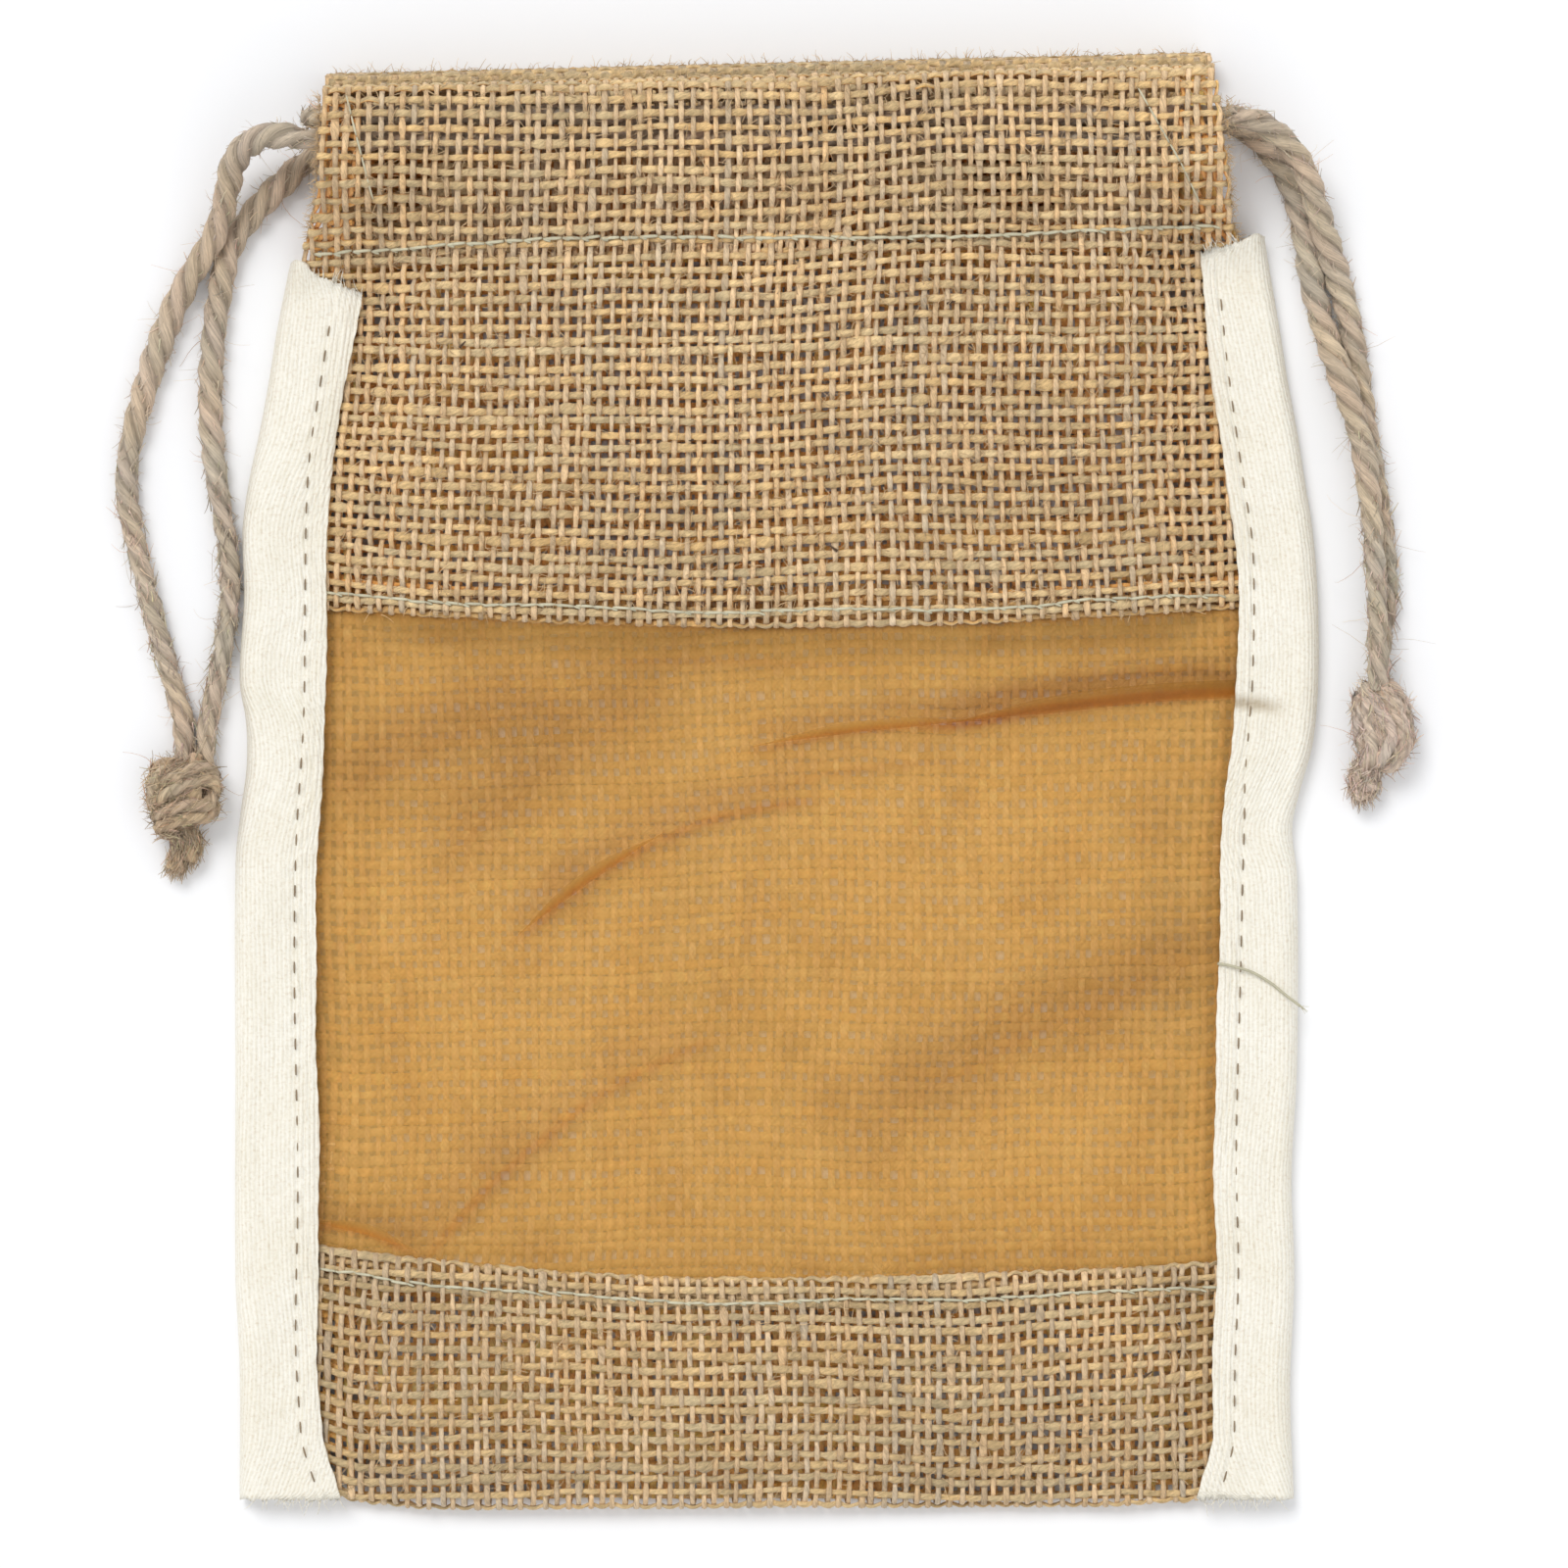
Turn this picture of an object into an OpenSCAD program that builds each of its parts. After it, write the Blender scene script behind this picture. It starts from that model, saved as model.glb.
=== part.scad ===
// Drawstring gift pouch: jute hessian with a sheer window in its front, taped side seams and
// two jute drawstrings, each knotted at its own side.
// The pouch lies on its back. +X is its width, +Y runs from the bottom fold to the mouth and
// +Z is up. The origin is under its middle, on the table that it lies on. Millimetres.

/* [Pouch] */
// Width over the two side bindings
pouch_w = 154; // [153:0.5:155]
// Length from the bottom fold to the top of the back
pouch_l = 205.4; // [204:0.2:207]
// Rise of the mouth's edge for each millimetre of width
mouth_slant = 0.024; // [0:0.002:0.03]
// How far the front's top fold lies below the back's
front_drop = 2.6; // [2:0.1:3]
// Height of the inside under the middle of the front
belly_h = 6.6; // [6.2:0.1:8]

/* [Cloth] */
// Thickness of the jute hessian
cloth_t = 0.8; // [0.7:0.05:0.9]
// Thickness of the sheer window cloth
organza_t = 0.2; // [0.15:0.05:0.25]
// Thickness of the cotton binding tape
tape_t = 0.7; // [0.5:0.05:0.8]
// Air between two layers that lie on each other
ply_gap = 0.05; // [0.04:0.01:0.06]

/* [Casing] */
// Depth of the casing, from the top fold to its stitch line
casing_depth = 25.3; // [24:0.1:27]
// Clear height of the channel that the cords run in
channel_h = 3.2; // [3.2:0.1:4]
// Clear height of the mouth between the two casings
mouth_gap = 4.2; // [4.2:0.1:6]
// Seam allowance of the turned-in hem below the stitch line
hem_allowance = 2; // [1:0.5:2]

/* [Bindings] */
// Widest that the left tape shows beside the front
tape_left = 11.8; // [10:0.1:13]
// Widest that the right tape shows beside the front
tape_right = 11.2; // [10:0.1:12]

/* [Drawstrings] */
// Diameter of the jute drawstrings
cord_d = 3; // [2.6:0.1:3]
// Diameter of the sewing thread
thread_d = 0.5; // [0.3:0.1:0.6]

/* [Hidden] */

jute = [0.73, 0.59, 0.42];
amber = [0.78, 0.6, 0.35, 0.6];
cream = [0.94, 0.92, 0.86];
twine = [0.6, 0.52, 0.42];
thread_colour = [0.72, 0.74, 0.66];

// Heights of the stack at the casing, each the lower face of a layer.
back_hem_z = cloth_t + channel_h;
front_hem_z = back_hem_z + cloth_t + mouth_gap;
front_top_z = front_hem_z + cloth_t + channel_h;
fold_r = channel_h / 2 + cloth_t;

// Heights of the stack inside the bindings.
back_seam_z = tape_t + ply_gap;
front_seam_z = back_seam_z + cloth_t + organza_t + 5 * ply_gap;

// Air under a casing's outer layer, a binding and a thread, where they pass over other cloth.
// hem_sag is how much further the front's hem hangs where the cloth slopes down to its seams.
hem_gap = 0.4;
hem_sag = 2;
tape_gap = 0.25;
thread_gap = 0.2;
casing_thread_gap = 0.45;

// Beside a binding the cloth lies flat for the first width, and rises over the second.
seam_flat = 2;
seam_rise = 11;

// Half width of the pouch at its mouth's corners, and at the level of the casing's stitches.
corner_x = 64;
stitch_x = 66;

// Width of the edge that lies hidden inside each binding's fold, on both sides of the cloth.
fold_clear = 2.6;

// The bindings spread at their lower end: where that begins, over what length and by how much.
flare_y = -92;
flare_l = 11;
flare_w = 2.2;

// How far each binding's outer edge lies inside the full width: [y, inset].
left_inset = [[-103, 1.6], [-83, 1.6], [-70, 1], [-42, 1], [-12, 1], [-5, 1.7], [2, 2.6], [8, 2.5],
    [14, 1.6], [26, 2.2], [35, 2], [42, 2.9], [49, 4.4], [56, 5.7], [63, 6.8], [74, 9]];
right_inset = [[-103, 3.4], [-86, 4], [-70, 3.4], [-56, 3.8], [-40, 3], [-14, 3], [-7, 3.7], [-2, 2.7],
    [5, 0.8], [14, 0], [26, 0.1], [35, 0.8], [42, 1.9], [49, 3], [56, 4.3], [63, 5.4], [76, 7.6]];

// How far each binding's inner edge lies inside the line that the widest tape gives: [y, inset].
left_seam = [[-103, 2.2], [-92, 1.6], [-80, 0.9], [-56, 1.2], [-28, 0.7], [-8, 1], [8, 2], [24, 2.2],
    [38, 2.4], [46, 2.9], [54, 4.1], [64, 5.7], [74, 7.5]];
right_seam = [[-103, 3.9], [-84, 3.9], [-70, 3.4], [-52, 3.7], [-28, 3.1], [-8, 2.6], [0, 2.1], [6, 1.2],
    [14, 0.5], [28, 0.3], [35, 0.7], [42, 1.8], [49, 2.8], [60, 4.2], [78, 5.9]];

// Half width of each side of the casing: [distance below the mouth, half width].
left_casing = [[0, 63.1], [10, 63.4], [17, 63.8], [22, 64.8], [26, 66.2], [34, 67]];
right_casing = [[0, 61.2], [10, 62.3], [18, 63.4], [25, 64.6], [34, 65.8]];

// Edge of the lower strip, where the window begins: [x, y].
strip_edge = [[-76, -65.4], [-47, -68.3], [-26, -70.1], [2, -70.8], [76, -68.4]];

// Lower face of the front along the pouch: [distance below the mouth, z].
front_lift = [[0, front_top_z], [5, front_top_z], [16.5, front_top_z],
    [casing_depth, front_hem_z + cloth_t + 0.15], [casing_depth + 4, front_hem_z + cloth_t + 0.2],
    [42, belly_h + 0.9], [55, belly_h + 0.3], [78, belly_h], [130, belly_h], [170, belly_h - 0.2],
    [191, belly_h - 0.6], [202.5, channel_h - cloth_t]];

// Routes of the two drawstrings, each from its knot, through the front casing, round the far
// end, back through the back casing and down to its knot again: [x, y, z].
left_route = [[-83.4, 1, 2.2], [-83.2, 4.4, 1.8], [-83.5, 9, 1.5], [-85, 14, 1.5], [-86.7, 20, 1.5],
    [-88.4, 26.5, 1.5], [-90, 33, 1.5], [-91.2, 40, 1.5], [-91, 46, 1.5], [-89.6, 52, 1.5],
    [-87.8, 58, 1.5], [-85.8, 63.5, 1.5], [-83.6, 68.5, 1.7], [-81.4, 72.3, 2.7], [-79.2, 75.6, 3.9],
    [-77.6, 79.4, 4.9], [-76.6, 83.6, 6], [-75.4, 87.2, 7.3], [-73, 89.4, 8.7], [-69.8, 90.2, 10.1],
    [-66.4, 89.7, 11], [-62.8, 89.4, 11.4], [-58, 89.4, 11.4], [-20, 89.4, 11.4], [20, 89.4, 11.4],
    [53, 89.4, 11.4], [57, 89.4, 11.4], [60.2, 89.4, 10.1], [61.5, 89.4, 6.9], [60.2, 89.4, 3.7],
    [57, 89.4, 2.4], [53, 89.4, 2.4], [20, 89.4, 2.4], [-20, 89.4, 2.4], [-59, 89.4, 2.4],
    [-63, 89, 2.4], [-66.4, 86.8, 2.1], [-69.6, 83.8, 1.7], [-72.6, 80.8, 1.5], [-75.2, 77.6, 1.5],
    [-77, 74, 1.5], [-78, 69.5, 1.5], [-79, 63, 1.5], [-79.5, 54, 1.5], [-79, 45.5, 1.5],
    [-77.9, 38, 1.5], [-76.9, 31.5, 1.5], [-76.7, 26, 1.5], [-77.5, 19.5, 1.5], [-78.8, 12.7, 1.5],
    [-80, 6.5, 1.7], [-80.2, 2, 2.2]];
right_route = [[85.4, 12.5, 2], [85.6, 16.5, 1.5], [86.1, 21, 1.5], [86.6, 26, 1.5], [86.5, 32, 1.5],
    [85.7, 38, 1.5], [84.8, 43.5, 1.5], [83.7, 49, 1.5], [82.9, 55, 1.5], [82, 61, 1.5],
    [80.9, 66.5, 1.5], [79.6, 71, 1.8], [78.2, 75.4, 3], [76.9, 79.4, 4.5], [75.7, 83.2, 6],
    [73.9, 87, 7.6], [71.2, 90, 9.2], [67.8, 92.1, 10.6], [64.2, 92.9, 11.3], [60, 92.9, 11.4],
    [20, 92.9, 11.4], [-20, 92.9, 11.4], [-56.5, 92.9, 11.4], [-60.5, 92.9, 11.4], [-63.7, 92.9, 10.1],
    [-65, 92.9, 6.9], [-63.7, 92.9, 3.7], [-60.5, 92.9, 2.4], [-56.5, 92.9, 2.4], [-20, 92.9, 2.4],
    [20, 92.9, 2.4], [60, 92.9, 2.4], [63.8, 92.6, 2.3], [67.2, 91.1, 2], [70.2, 88.5, 1.6],
    [72.6, 85, 1.5], [74.2, 80.6, 1.5], [75.2, 75.4, 1.5], [76, 70.2, 1.5], [77.3, 65, 1.6],
    [79, 59.6, 2.8], [80.9, 54, 4.4], [82.6, 48.4, 4.6], [83.6, 43, 4.6], [84.2, 37.5, 4.6],
    [84.7, 31.5, 4.6], [85, 25.5, 4.6], [85.1, 20, 4.6], [85.2, 16, 4.6], [85.2, 12.5, 4.4]];

// The knots: the middle of each, its lobes and the end of its tail, both from that middle.
left_knot = [-83.2, -2, 2.6];
left_lobes = [[-2.6, 2.6, 0], [2.3, 2.8, 0.2], [-2.8, -2.4, 0], [2.4, -1.6, 0.6], [-0.2, 0.4, 1.8]];
left_tail = [-0.2, -10.2, -0.4];
right_knot = [86, 8, 2.6];
right_lobes = [[-1.6, 4, 0], [0.8, 3.6, 1.6], [-1.8, -1.6, 0.2], [1.7, -3.4, 0.4], [0.4, 0.4, 2]];
right_tail = [-2.2, -10, -0.4];

// A smooth step from 0 to 1.
function smooth(t) = let(s = min(max(t, 0), 1)) s * s * (3 - 2 * s);
function mix(a, b, t) = a + (b - a) * t;

// A smooth curve through a list of [place, value] pairs.
function span_of(p, x, i = 0) = (i >= len(p) - 2 || x < p[i + 1][0]) ? i : span_of(p, x, i + 1);
function slope(p, i) = let(a = p[max(i - 1, 0)], b = p[min(i + 1, len(p) - 1)]) (b[1] - a[1]) / (b[0] - a[0]);
function curve(p, x) =
    let(i = span_of(p, x), a = p[i], b = p[i + 1], h = b[0] - a[0], t = min(max((x - a[0]) / h, 0), 1))
    a[1] * (1 + 2 * t) * (1 - t) * (1 - t) + h * slope(p, i) * t * (1 - t) * (1 - t)
    + b[1] * t * t * (3 - 2 * t) - h * slope(p, i + 1) * t * t * (1 - t);

// Outlines of the pouch, seen from above.
function mouth_y(x) = pouch_l / 2 + mouth_slant * (x - 62);
function below_mouth(x, y) = mouth_y(x) - y;
function stitch_y(x) = mouth_y(x) - casing_depth;
function bottom_y(x) = -pouch_l / 2 + 2 * smooth((abs(x) - 58) / 8);
function window_top_y(x) = 21.7 + 2.6 * pow(x / 63, 2);
function outer_x(side, y) = side * (pouch_w / 2 - curve(side < 0 ? left_inset : right_inset, y));
function inner_x(side, y) = side * (pouch_w / 2
    - (side < 0 ? tape_left + curve(left_seam, y) : tape_right + curve(right_seam, y))
    - flare_w * smooth((flare_y - y) / flare_l));
// The cloth's own side edge, inside the binding and then at the casing's end.
function edge_x(side, y) =
    let(d = below_mouth(side * corner_x, y))
    side * mix(abs(outer_x(side, y)) - fold_clear,
        curve(side < 0 ? left_casing : right_casing, d), smooth((31 - d) / 7));

// Heights of the cloth. off_seam() is 0 at the side seams and 1 inside them, and lifted() is
// also 1 over the whole of the casing.
function off_seam(x, y) =
    let(side = x < 0 ? -1 : 1) smooth((side * (inner_x(side, y) - x) - seam_flat) / seam_rise);
function lifted(x, y) =
    1 - (1 - off_seam(x, y)) * (1 - smooth((33 - below_mouth(x, y)) / 18));
function back_z(x, y) =
    back_seam_z * (1 - off_seam(x, y)) * (1 - smooth((casing_depth - 0.5 - below_mouth(x, y)) / 4));
function front_z(x, y) =
    mix(front_seam_z, curve(front_lift, below_mouth(x, y)), lifted(x, y));
function back_hem_floor(x, y) =
    back_z(x, y) + cloth_t + 0.1 + (channel_h - 0.1) * smooth((casing_depth - below_mouth(x, y)) / 8.5);
function front_hem_floor(x, y) =
    let(under = curve(front_lift, below_mouth(x, y)) - cloth_t - hem_gap, up = lifted(x, y))
    mix(front_seam_z - cloth_t - hem_gap, min(front_hem_z, under), up) - hem_sag * up * up * (1 - up);

// A closed solid between two grids of points of the same size.
module cloth(a, b) {
    rows = len(a);
    cols = len(a[0]);
    count = rows * cols;
    top = [for (i = [0 : rows - 2], j = [0 : cols - 2])
        let(p = i * cols + j) each [[p, p + 1, p + cols + 1], [p, p + cols + 1, p + cols]]];
    under = [for (f = top) [f[0] + count, f[2] + count, f[1] + count]];
    rim = concat([for (j = [0 : cols - 1]) j], [for (i = [1 : rows - 1]) i * cols + cols - 1],
        [for (j = [cols - 2 : -1 : 0]) (rows - 1) * cols + j], [for (i = [rows - 2 : -1 : 1]) i * cols]);
    edge = [for (k = [0 : len(rim) - 1])
        let(p = rim[k], q = rim[(k + 1) % len(rim)]) each [[q, p, p + count], [q, p + count, q + count]]];
    polyhedron([for (row = a) each row, for (row = b) each row], concat(top, under, edge), convexity = 10);
}

// A tube along a list of points. The reference direction is never along the routes used here.
module tube(route, d, sides = 8) {
    n = len(route);
    points = [for (i = [0 : n - 1])
        let(along = route[min(i + 1, n - 1)] - route[max(i - 1, 0)],
            across = cross(along, [1, -1, 1]), u = across / norm(across),
            up = cross(u, along), v = up / norm(up))
        for (k = [0 : sides - 1]) route[i] + d / 2 * (u * cos(360 * k / sides) + v * sin(360 * k / sides))];
    walls = [for (i = [0 : n - 2], k = [0 : sides - 1])
        let(p = i * sides + k, q = i * sides + (k + 1) % sides)
        each [[p, q, q + sides], [p, q + sides, p + sides]]];
    ends = [[for (k = [sides - 1 : -1 : 0]) k], [for (k = [0 : sides - 1]) (n - 1) * sides + k]];
    polyhedron(points, concat(walls, ends), convexity = 10);
}

// The route with points added on the same smooth curve, about 8 mm apart.
function spline(p, i, t) =
    let(a = p[max(i - 1, 0)], b = p[i], c = p[i + 1], d = p[min(i + 2, len(p) - 1)])
    0.5 * (2 * b + (c - a) * t + (2 * a - 5 * b + 4 * c - d) * t * t + (3 * b - a - 3 * c + d) * t * t * t);
function refined(p) = [for (i = [0 : len(p) - 2])
    let(steps = max(1, round(norm(p[i + 1] - p[i]) / 8))) for (k = [0 : steps - 1]) spline(p, i, k / steps),
    p[len(p) - 1]];

// Columns across the cloth, closer together near the side seams.
cols = 26;
function across(j) = let(t = j / cols) mix(t, smooth(t), 0.45);
function place_x(j, y) = mix(edge_x(-1, y), edge_x(1, y), across(j));
// A row of the cloth: a list of [x, y], for a distance below the mouth.
function row_below(d) = [for (j = [0 : cols])
    let(y = mouth_y(mix(-corner_x, corner_x, across(j))) - d, x = place_x(j, y)) [x, mouth_y(x) - d]];
// A row a share t of the way from the stitch line's lower side to the curve named.
function row_mix(d, t, target) = [for (j = [0 : cols])
    let(x0 = mix(-stitch_x, stitch_x, across(j)), y = mix(mouth_y(x0) - d, target(x0), t), x = place_x(j, y))
    [x, mix(mouth_y(x) - d, target(x), t)]];

// The turn of cloth at the casing's top edge, from its outer layer to its hem.
function top_turn(row, z_mid, angle, r) = [for (p = row)
    [p[0], p[1] + r * cos(angle), z_mid + r * sin(angle)]];

module back_panel() {
    fold = row_mix(0, 1, function (x) bottom_y(x));
    turn_r = [for (p = fold) (front_z(p[0], p[1] + 1.5) + cloth_t - back_z(p[0], p[1] + 1.5)) / 2];
    flat_rows = [for (d = [fold_r, 8, 12, 16, 20, 22, 24, 27, 30, 34, 40, 50, each [65 : 20 : 185]])
        row_below(d)];
    last = [for (j = [0 : cols]) [fold[j][0], fold[j][1] + turn_r[j]]];
    strip_rows = [for (t = [0, 0.08, 0.18, 0.3, 0.45, 0.6, 0.8, 1])
        [for (j = [0 : cols]) let(y = mix(last[j][1], curve(strip_edge, last[j][0]), t), x = place_x(j, y))
            [x, y]]];
    turn_angles = [30 : 30 : 150];
    outer = concat(
        [for (a = [90, 60, 30, 0, -30, -60]) top_turn(row_below(fold_r), fold_r, a, fold_r)],
        [for (row = flat_rows) [for (p = row) [p[0], p[1], back_z(p[0], p[1])]]],
        [[for (p = last) [p[0], p[1], back_z(p[0], p[1])]]],
        [for (a = turn_angles) [for (j = [0 : cols]) [last[j][0], last[j][1] - turn_r[j] * sin(a),
            back_z(last[j][0], last[j][1]) + turn_r[j] * (1 - cos(a))]]],
        [for (row = strip_rows) [for (p = row) [p[0], p[1], front_z(p[0], p[1]) + cloth_t]]]);
    inner = concat(
        [for (a = [90, 60, 30, 0, -30, -60]) top_turn(row_below(fold_r), fold_r, a, fold_r - cloth_t)],
        [for (row = flat_rows) [for (p = row) [p[0], p[1], back_z(p[0], p[1]) + cloth_t]]],
        [[for (p = last) [p[0], p[1], back_z(p[0], p[1]) + cloth_t]]],
        [for (a = turn_angles) [for (j = [0 : cols]) [last[j][0], last[j][1] - (turn_r[j] - cloth_t) * sin(a),
            back_z(last[j][0], last[j][1]) + turn_r[j] - (turn_r[j] - cloth_t) * cos(a)]]],
        [for (row = strip_rows) [for (p = row) [p[0], p[1], front_z(p[0], p[1])]]]);
    color(jute) cloth(outer, inner);
}

module front_panel() {
    top = row_below(front_drop + fold_r);
    rows = concat([for (d = [front_drop + fold_r, 9, 13, 16.5, 18.5, 20.5, 22.5, casing_depth - 1,
        casing_depth, casing_depth + 1, 28, 31]) row_below(d)],
        [for (t = [0.1, 0.22, 0.36, 0.52, 0.68, 0.84, 1]) row_mix(31, t, function (x) window_top_y(x))]);
    turn = [-90, -60, -30, 0, 30, 60];
    mid = front_hem_z + fold_r;
    color(jute) cloth(
        concat([for (a = turn) top_turn(top, mid, a, fold_r)],
            [for (row = rows) [for (p = row) [p[0], p[1], front_z(p[0], p[1]) + cloth_t]]]),
        concat([for (a = turn) top_turn(top, mid, a, fold_r - cloth_t)],
            [for (row = rows) [for (p = row) [p[0], p[1], front_z(p[0], p[1])]]]));
}

// The turned-in hem of a casing. It stops short of the casing's ends, where the cords turn.
hem_ends = [-60.7, 57.2];
function hem_row(d) = [for (t = [each [0 : 0.03 : 0.18], 0.3, 0.5, 0.7, each [0.82 : 0.03 : 1.001]])
    let(x = mix(hem_ends[0], hem_ends[1], t)) [x, mouth_y(x) - d]];

module hem(rows, floor_z) {
    color(jute) cloth(
        [for (row = rows) [for (p = row) [p[0], p[1], floor_z(p[0], p[1]) + cloth_t]]],
        [for (row = rows) [for (p = row) [p[0], p[1], floor_z(p[0], p[1])]]]);
}

module back_hem() {
    hem([for (d = [fold_r + 0.1, 9, 13, 16.5, 18.5, 20.5, 22.5, 24, casing_depth,
        casing_depth + hem_allowance]) hem_row(d)], function (x, y) back_hem_floor(x, y));
}

module front_hem() {
    hem([for (d = [front_drop + fold_r + 0.1, 9, 13, 16.5, 20.5, 22.5, casing_depth - 1, casing_depth + 1,
        casing_depth + hem_allowance]) hem_row(d)], function (x, y) front_hem_floor(x, y));
}

module window() {
    overlap = 3.5;
    rows = [for (t = [0 : 1 / 13 : 1.001]) [for (j = [0 : cols])
        let(x0 = mix(-stitch_x, stitch_x, across(j)),
            y = mix(window_top_y(x0) + overlap, curve(strip_edge, x0) - overlap, t), x = place_x(j, y))
        [x, mix(window_top_y(x) + overlap, curve(strip_edge, x) - overlap, t)]]];
    color(amber) cloth(
        [for (row = rows) [for (p = row) [p[0], p[1], front_z(p[0], p[1]) - 2 * ply_gap]]],
        [for (row = rows) [for (p = row) [p[0], p[1], front_z(p[0], p[1]) - 2 * ply_gap - organza_t]]]);
}

// A binding: one tape folded round both side edges, its top end cut at a slant.
module binding(side) {
    end_y = -pouch_l / 2 + 1.2;
    function tape_top(x) = side < 0 ? 72.3 - 0.38 * (x + 68) : 74 + 0.25 * (x - 59.6);
    function over_z(x, y) = front_z(x, y) + cloth_t + tape_gap;
    legs = [0, 0.25, 0.5, 0.75];
    stations = [each [0 : 0.05 : 0.9], 0.925, 0.95, 0.965, 0.98, 1];
    function section(v, inset) =
        let(y_out = mix(end_y, tape_top(side * 70), v), x_out = outer_x(side, y_out),
            z_high = over_z(x_out - side * fold_clear, y_out) + tape_t, r = z_high / 2)
        concat(
            [for (t = legs) let(x_in = inner_x(side, y_out), x = mix(x_in, x_out - side * r, t),
                y = mix(end_y, tape_top(x), v)) [x, y, inset]],
            [for (a = [-90 : 30 : 90]) [x_out - side * (r - (r - inset) * cos(a)), y_out,
                r + (r - inset) * sin(a)]],
            [for (k = [3 : -1 : 0]) let(x_in = inner_x(side, y_out), x = mix(x_in, x_out - side * r, legs[k]),
                y = mix(end_y, tape_top(x), v)) [x, y, over_z(x, y) + tape_t - inset]]);
    outside = [for (v = stations) section(v, 0)];
    inside = [for (v = stations) section(v, tape_t)];
    color(cream) if (side < 0) cloth(inside, outside); else cloth(outside, inside);
}

module drawstring(route) {
    color(twine) tube(refined(route), cord_d);
}

// A knot tied with both ends of a cord, and the two cut ends below it.
module knot(centre, lobes, tail_ends) {
    color(twine) {
        hull() for (p = lobes) translate(centre + p) sphere(r = 2.5, $fn = 24);
        for (x = [-1.55, 1.55]) hull() {
            translate(centre + [x, -2, 0]) sphere(r = 1.6, $fn = 16);
            translate(centre + tail_ends + [x, 0, -0.6]) sphere(r = 1.6, $fn = 16);
        }
    }
}

// Sewing thread along a list of [x, y], at the height that the function z_of gives.
module sewn(path, z_of, gap = thread_gap) {
    color(thread_colour)
        tube([for (p = path) [p[0], p[1], z_of(p[0], p[1]) + thread_d / 2 + gap]], thread_d, 4);
}
function on_front(x, y) = front_z(x, y) + cloth_t;
function on_tape(x, y) = front_z(x, y) + cloth_t + tape_gap + tape_t;

module casing_stitch_front() {
    sewn([for (x = [-64 : 4 : 64]) [x, stitch_y(x)]], function (x, y) on_front(x, y), casing_thread_gap);
}
module casing_stitch_back() {
    sewn([for (x = [-60 : 4 : 56]) [x, stitch_y(x)]], function (x, y) back_hem_floor(x, y) + cloth_t);
}
module casing_end_stitch(top, bottom) {
    sewn([for (t = [0 : 0.1 : 1.001]) mix(top, bottom, t)], function (x, y) on_front(x, y));
}
module window_stitch_top() {
    sewn([for (x = [-62 : 4 : 62]) [x, window_top_y(x) + 1.8]], function (x, y) on_front(x, y));
}
module window_stitch_bottom() {
    sewn([for (x = [-62 : 4 : 62]) [x, curve(strip_edge, x) - 2.6]], function (x, y) on_front(x, y));
}
module binding_stitch(side) {
    sewn([for (y = [-98 : 5.5 : 67]) [inner_x(side, y) + side * 3, y]], function (x, y) on_tape(x, y));
}
module loose_thread() {
    sewn([[66.5, -26.5], [68.5, -27.6], [70.5, -29], [72, -31]], function (x, y) on_tape(x, y) + 0.1);
}

back_panel();
front_panel();
back_hem();
front_hem();
window();
binding(-1);  // binding_left
binding(1);  // binding_right
drawstring(left_route);  // drawstring_left
drawstring(right_route);  // drawstring_right
knot(left_knot, left_lobes, left_tail);  // knot_left
knot(right_knot, right_lobes, right_tail);  // knot_right
casing_stitch_front();
casing_stitch_back();
casing_end_stitch([-59.6, 95.4], [-55.2, 78]);  // casing_end_stitch_left
casing_end_stitch([51, 96.4], [60, 80.5]);  // casing_end_stitch_right
window_stitch_top();
window_stitch_bottom();
binding_stitch(-1);  // binding_stitch_left
binding_stitch(1);  // binding_stitch_right
loose_thread();
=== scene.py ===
"""A drawstring gift pouch of jute hessian, with a sheer window, taped sides and two twine cords.

Every length in the shape code is in millimetres, in the CAD model's frame, and make_object()
turns it into metres. The hessian is woven yarn by yarn, and the cords are swept along the CAD
routes.
"""
import math

import bpy
import numpy as np
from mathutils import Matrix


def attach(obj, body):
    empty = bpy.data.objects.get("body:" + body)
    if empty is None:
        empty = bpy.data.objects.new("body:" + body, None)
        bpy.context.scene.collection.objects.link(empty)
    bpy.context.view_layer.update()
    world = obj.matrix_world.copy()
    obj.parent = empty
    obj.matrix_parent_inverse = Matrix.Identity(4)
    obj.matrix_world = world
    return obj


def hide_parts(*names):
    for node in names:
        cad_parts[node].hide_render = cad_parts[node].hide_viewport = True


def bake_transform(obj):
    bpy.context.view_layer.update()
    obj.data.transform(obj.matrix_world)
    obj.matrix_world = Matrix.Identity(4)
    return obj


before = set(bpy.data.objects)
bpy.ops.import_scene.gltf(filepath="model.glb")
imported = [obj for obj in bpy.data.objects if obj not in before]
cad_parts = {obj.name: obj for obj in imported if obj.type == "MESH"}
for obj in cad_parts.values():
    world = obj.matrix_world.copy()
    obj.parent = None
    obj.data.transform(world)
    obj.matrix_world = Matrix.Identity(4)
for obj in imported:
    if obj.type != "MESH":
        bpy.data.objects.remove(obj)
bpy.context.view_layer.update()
rng = np.random.default_rng(seed=393)

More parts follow.
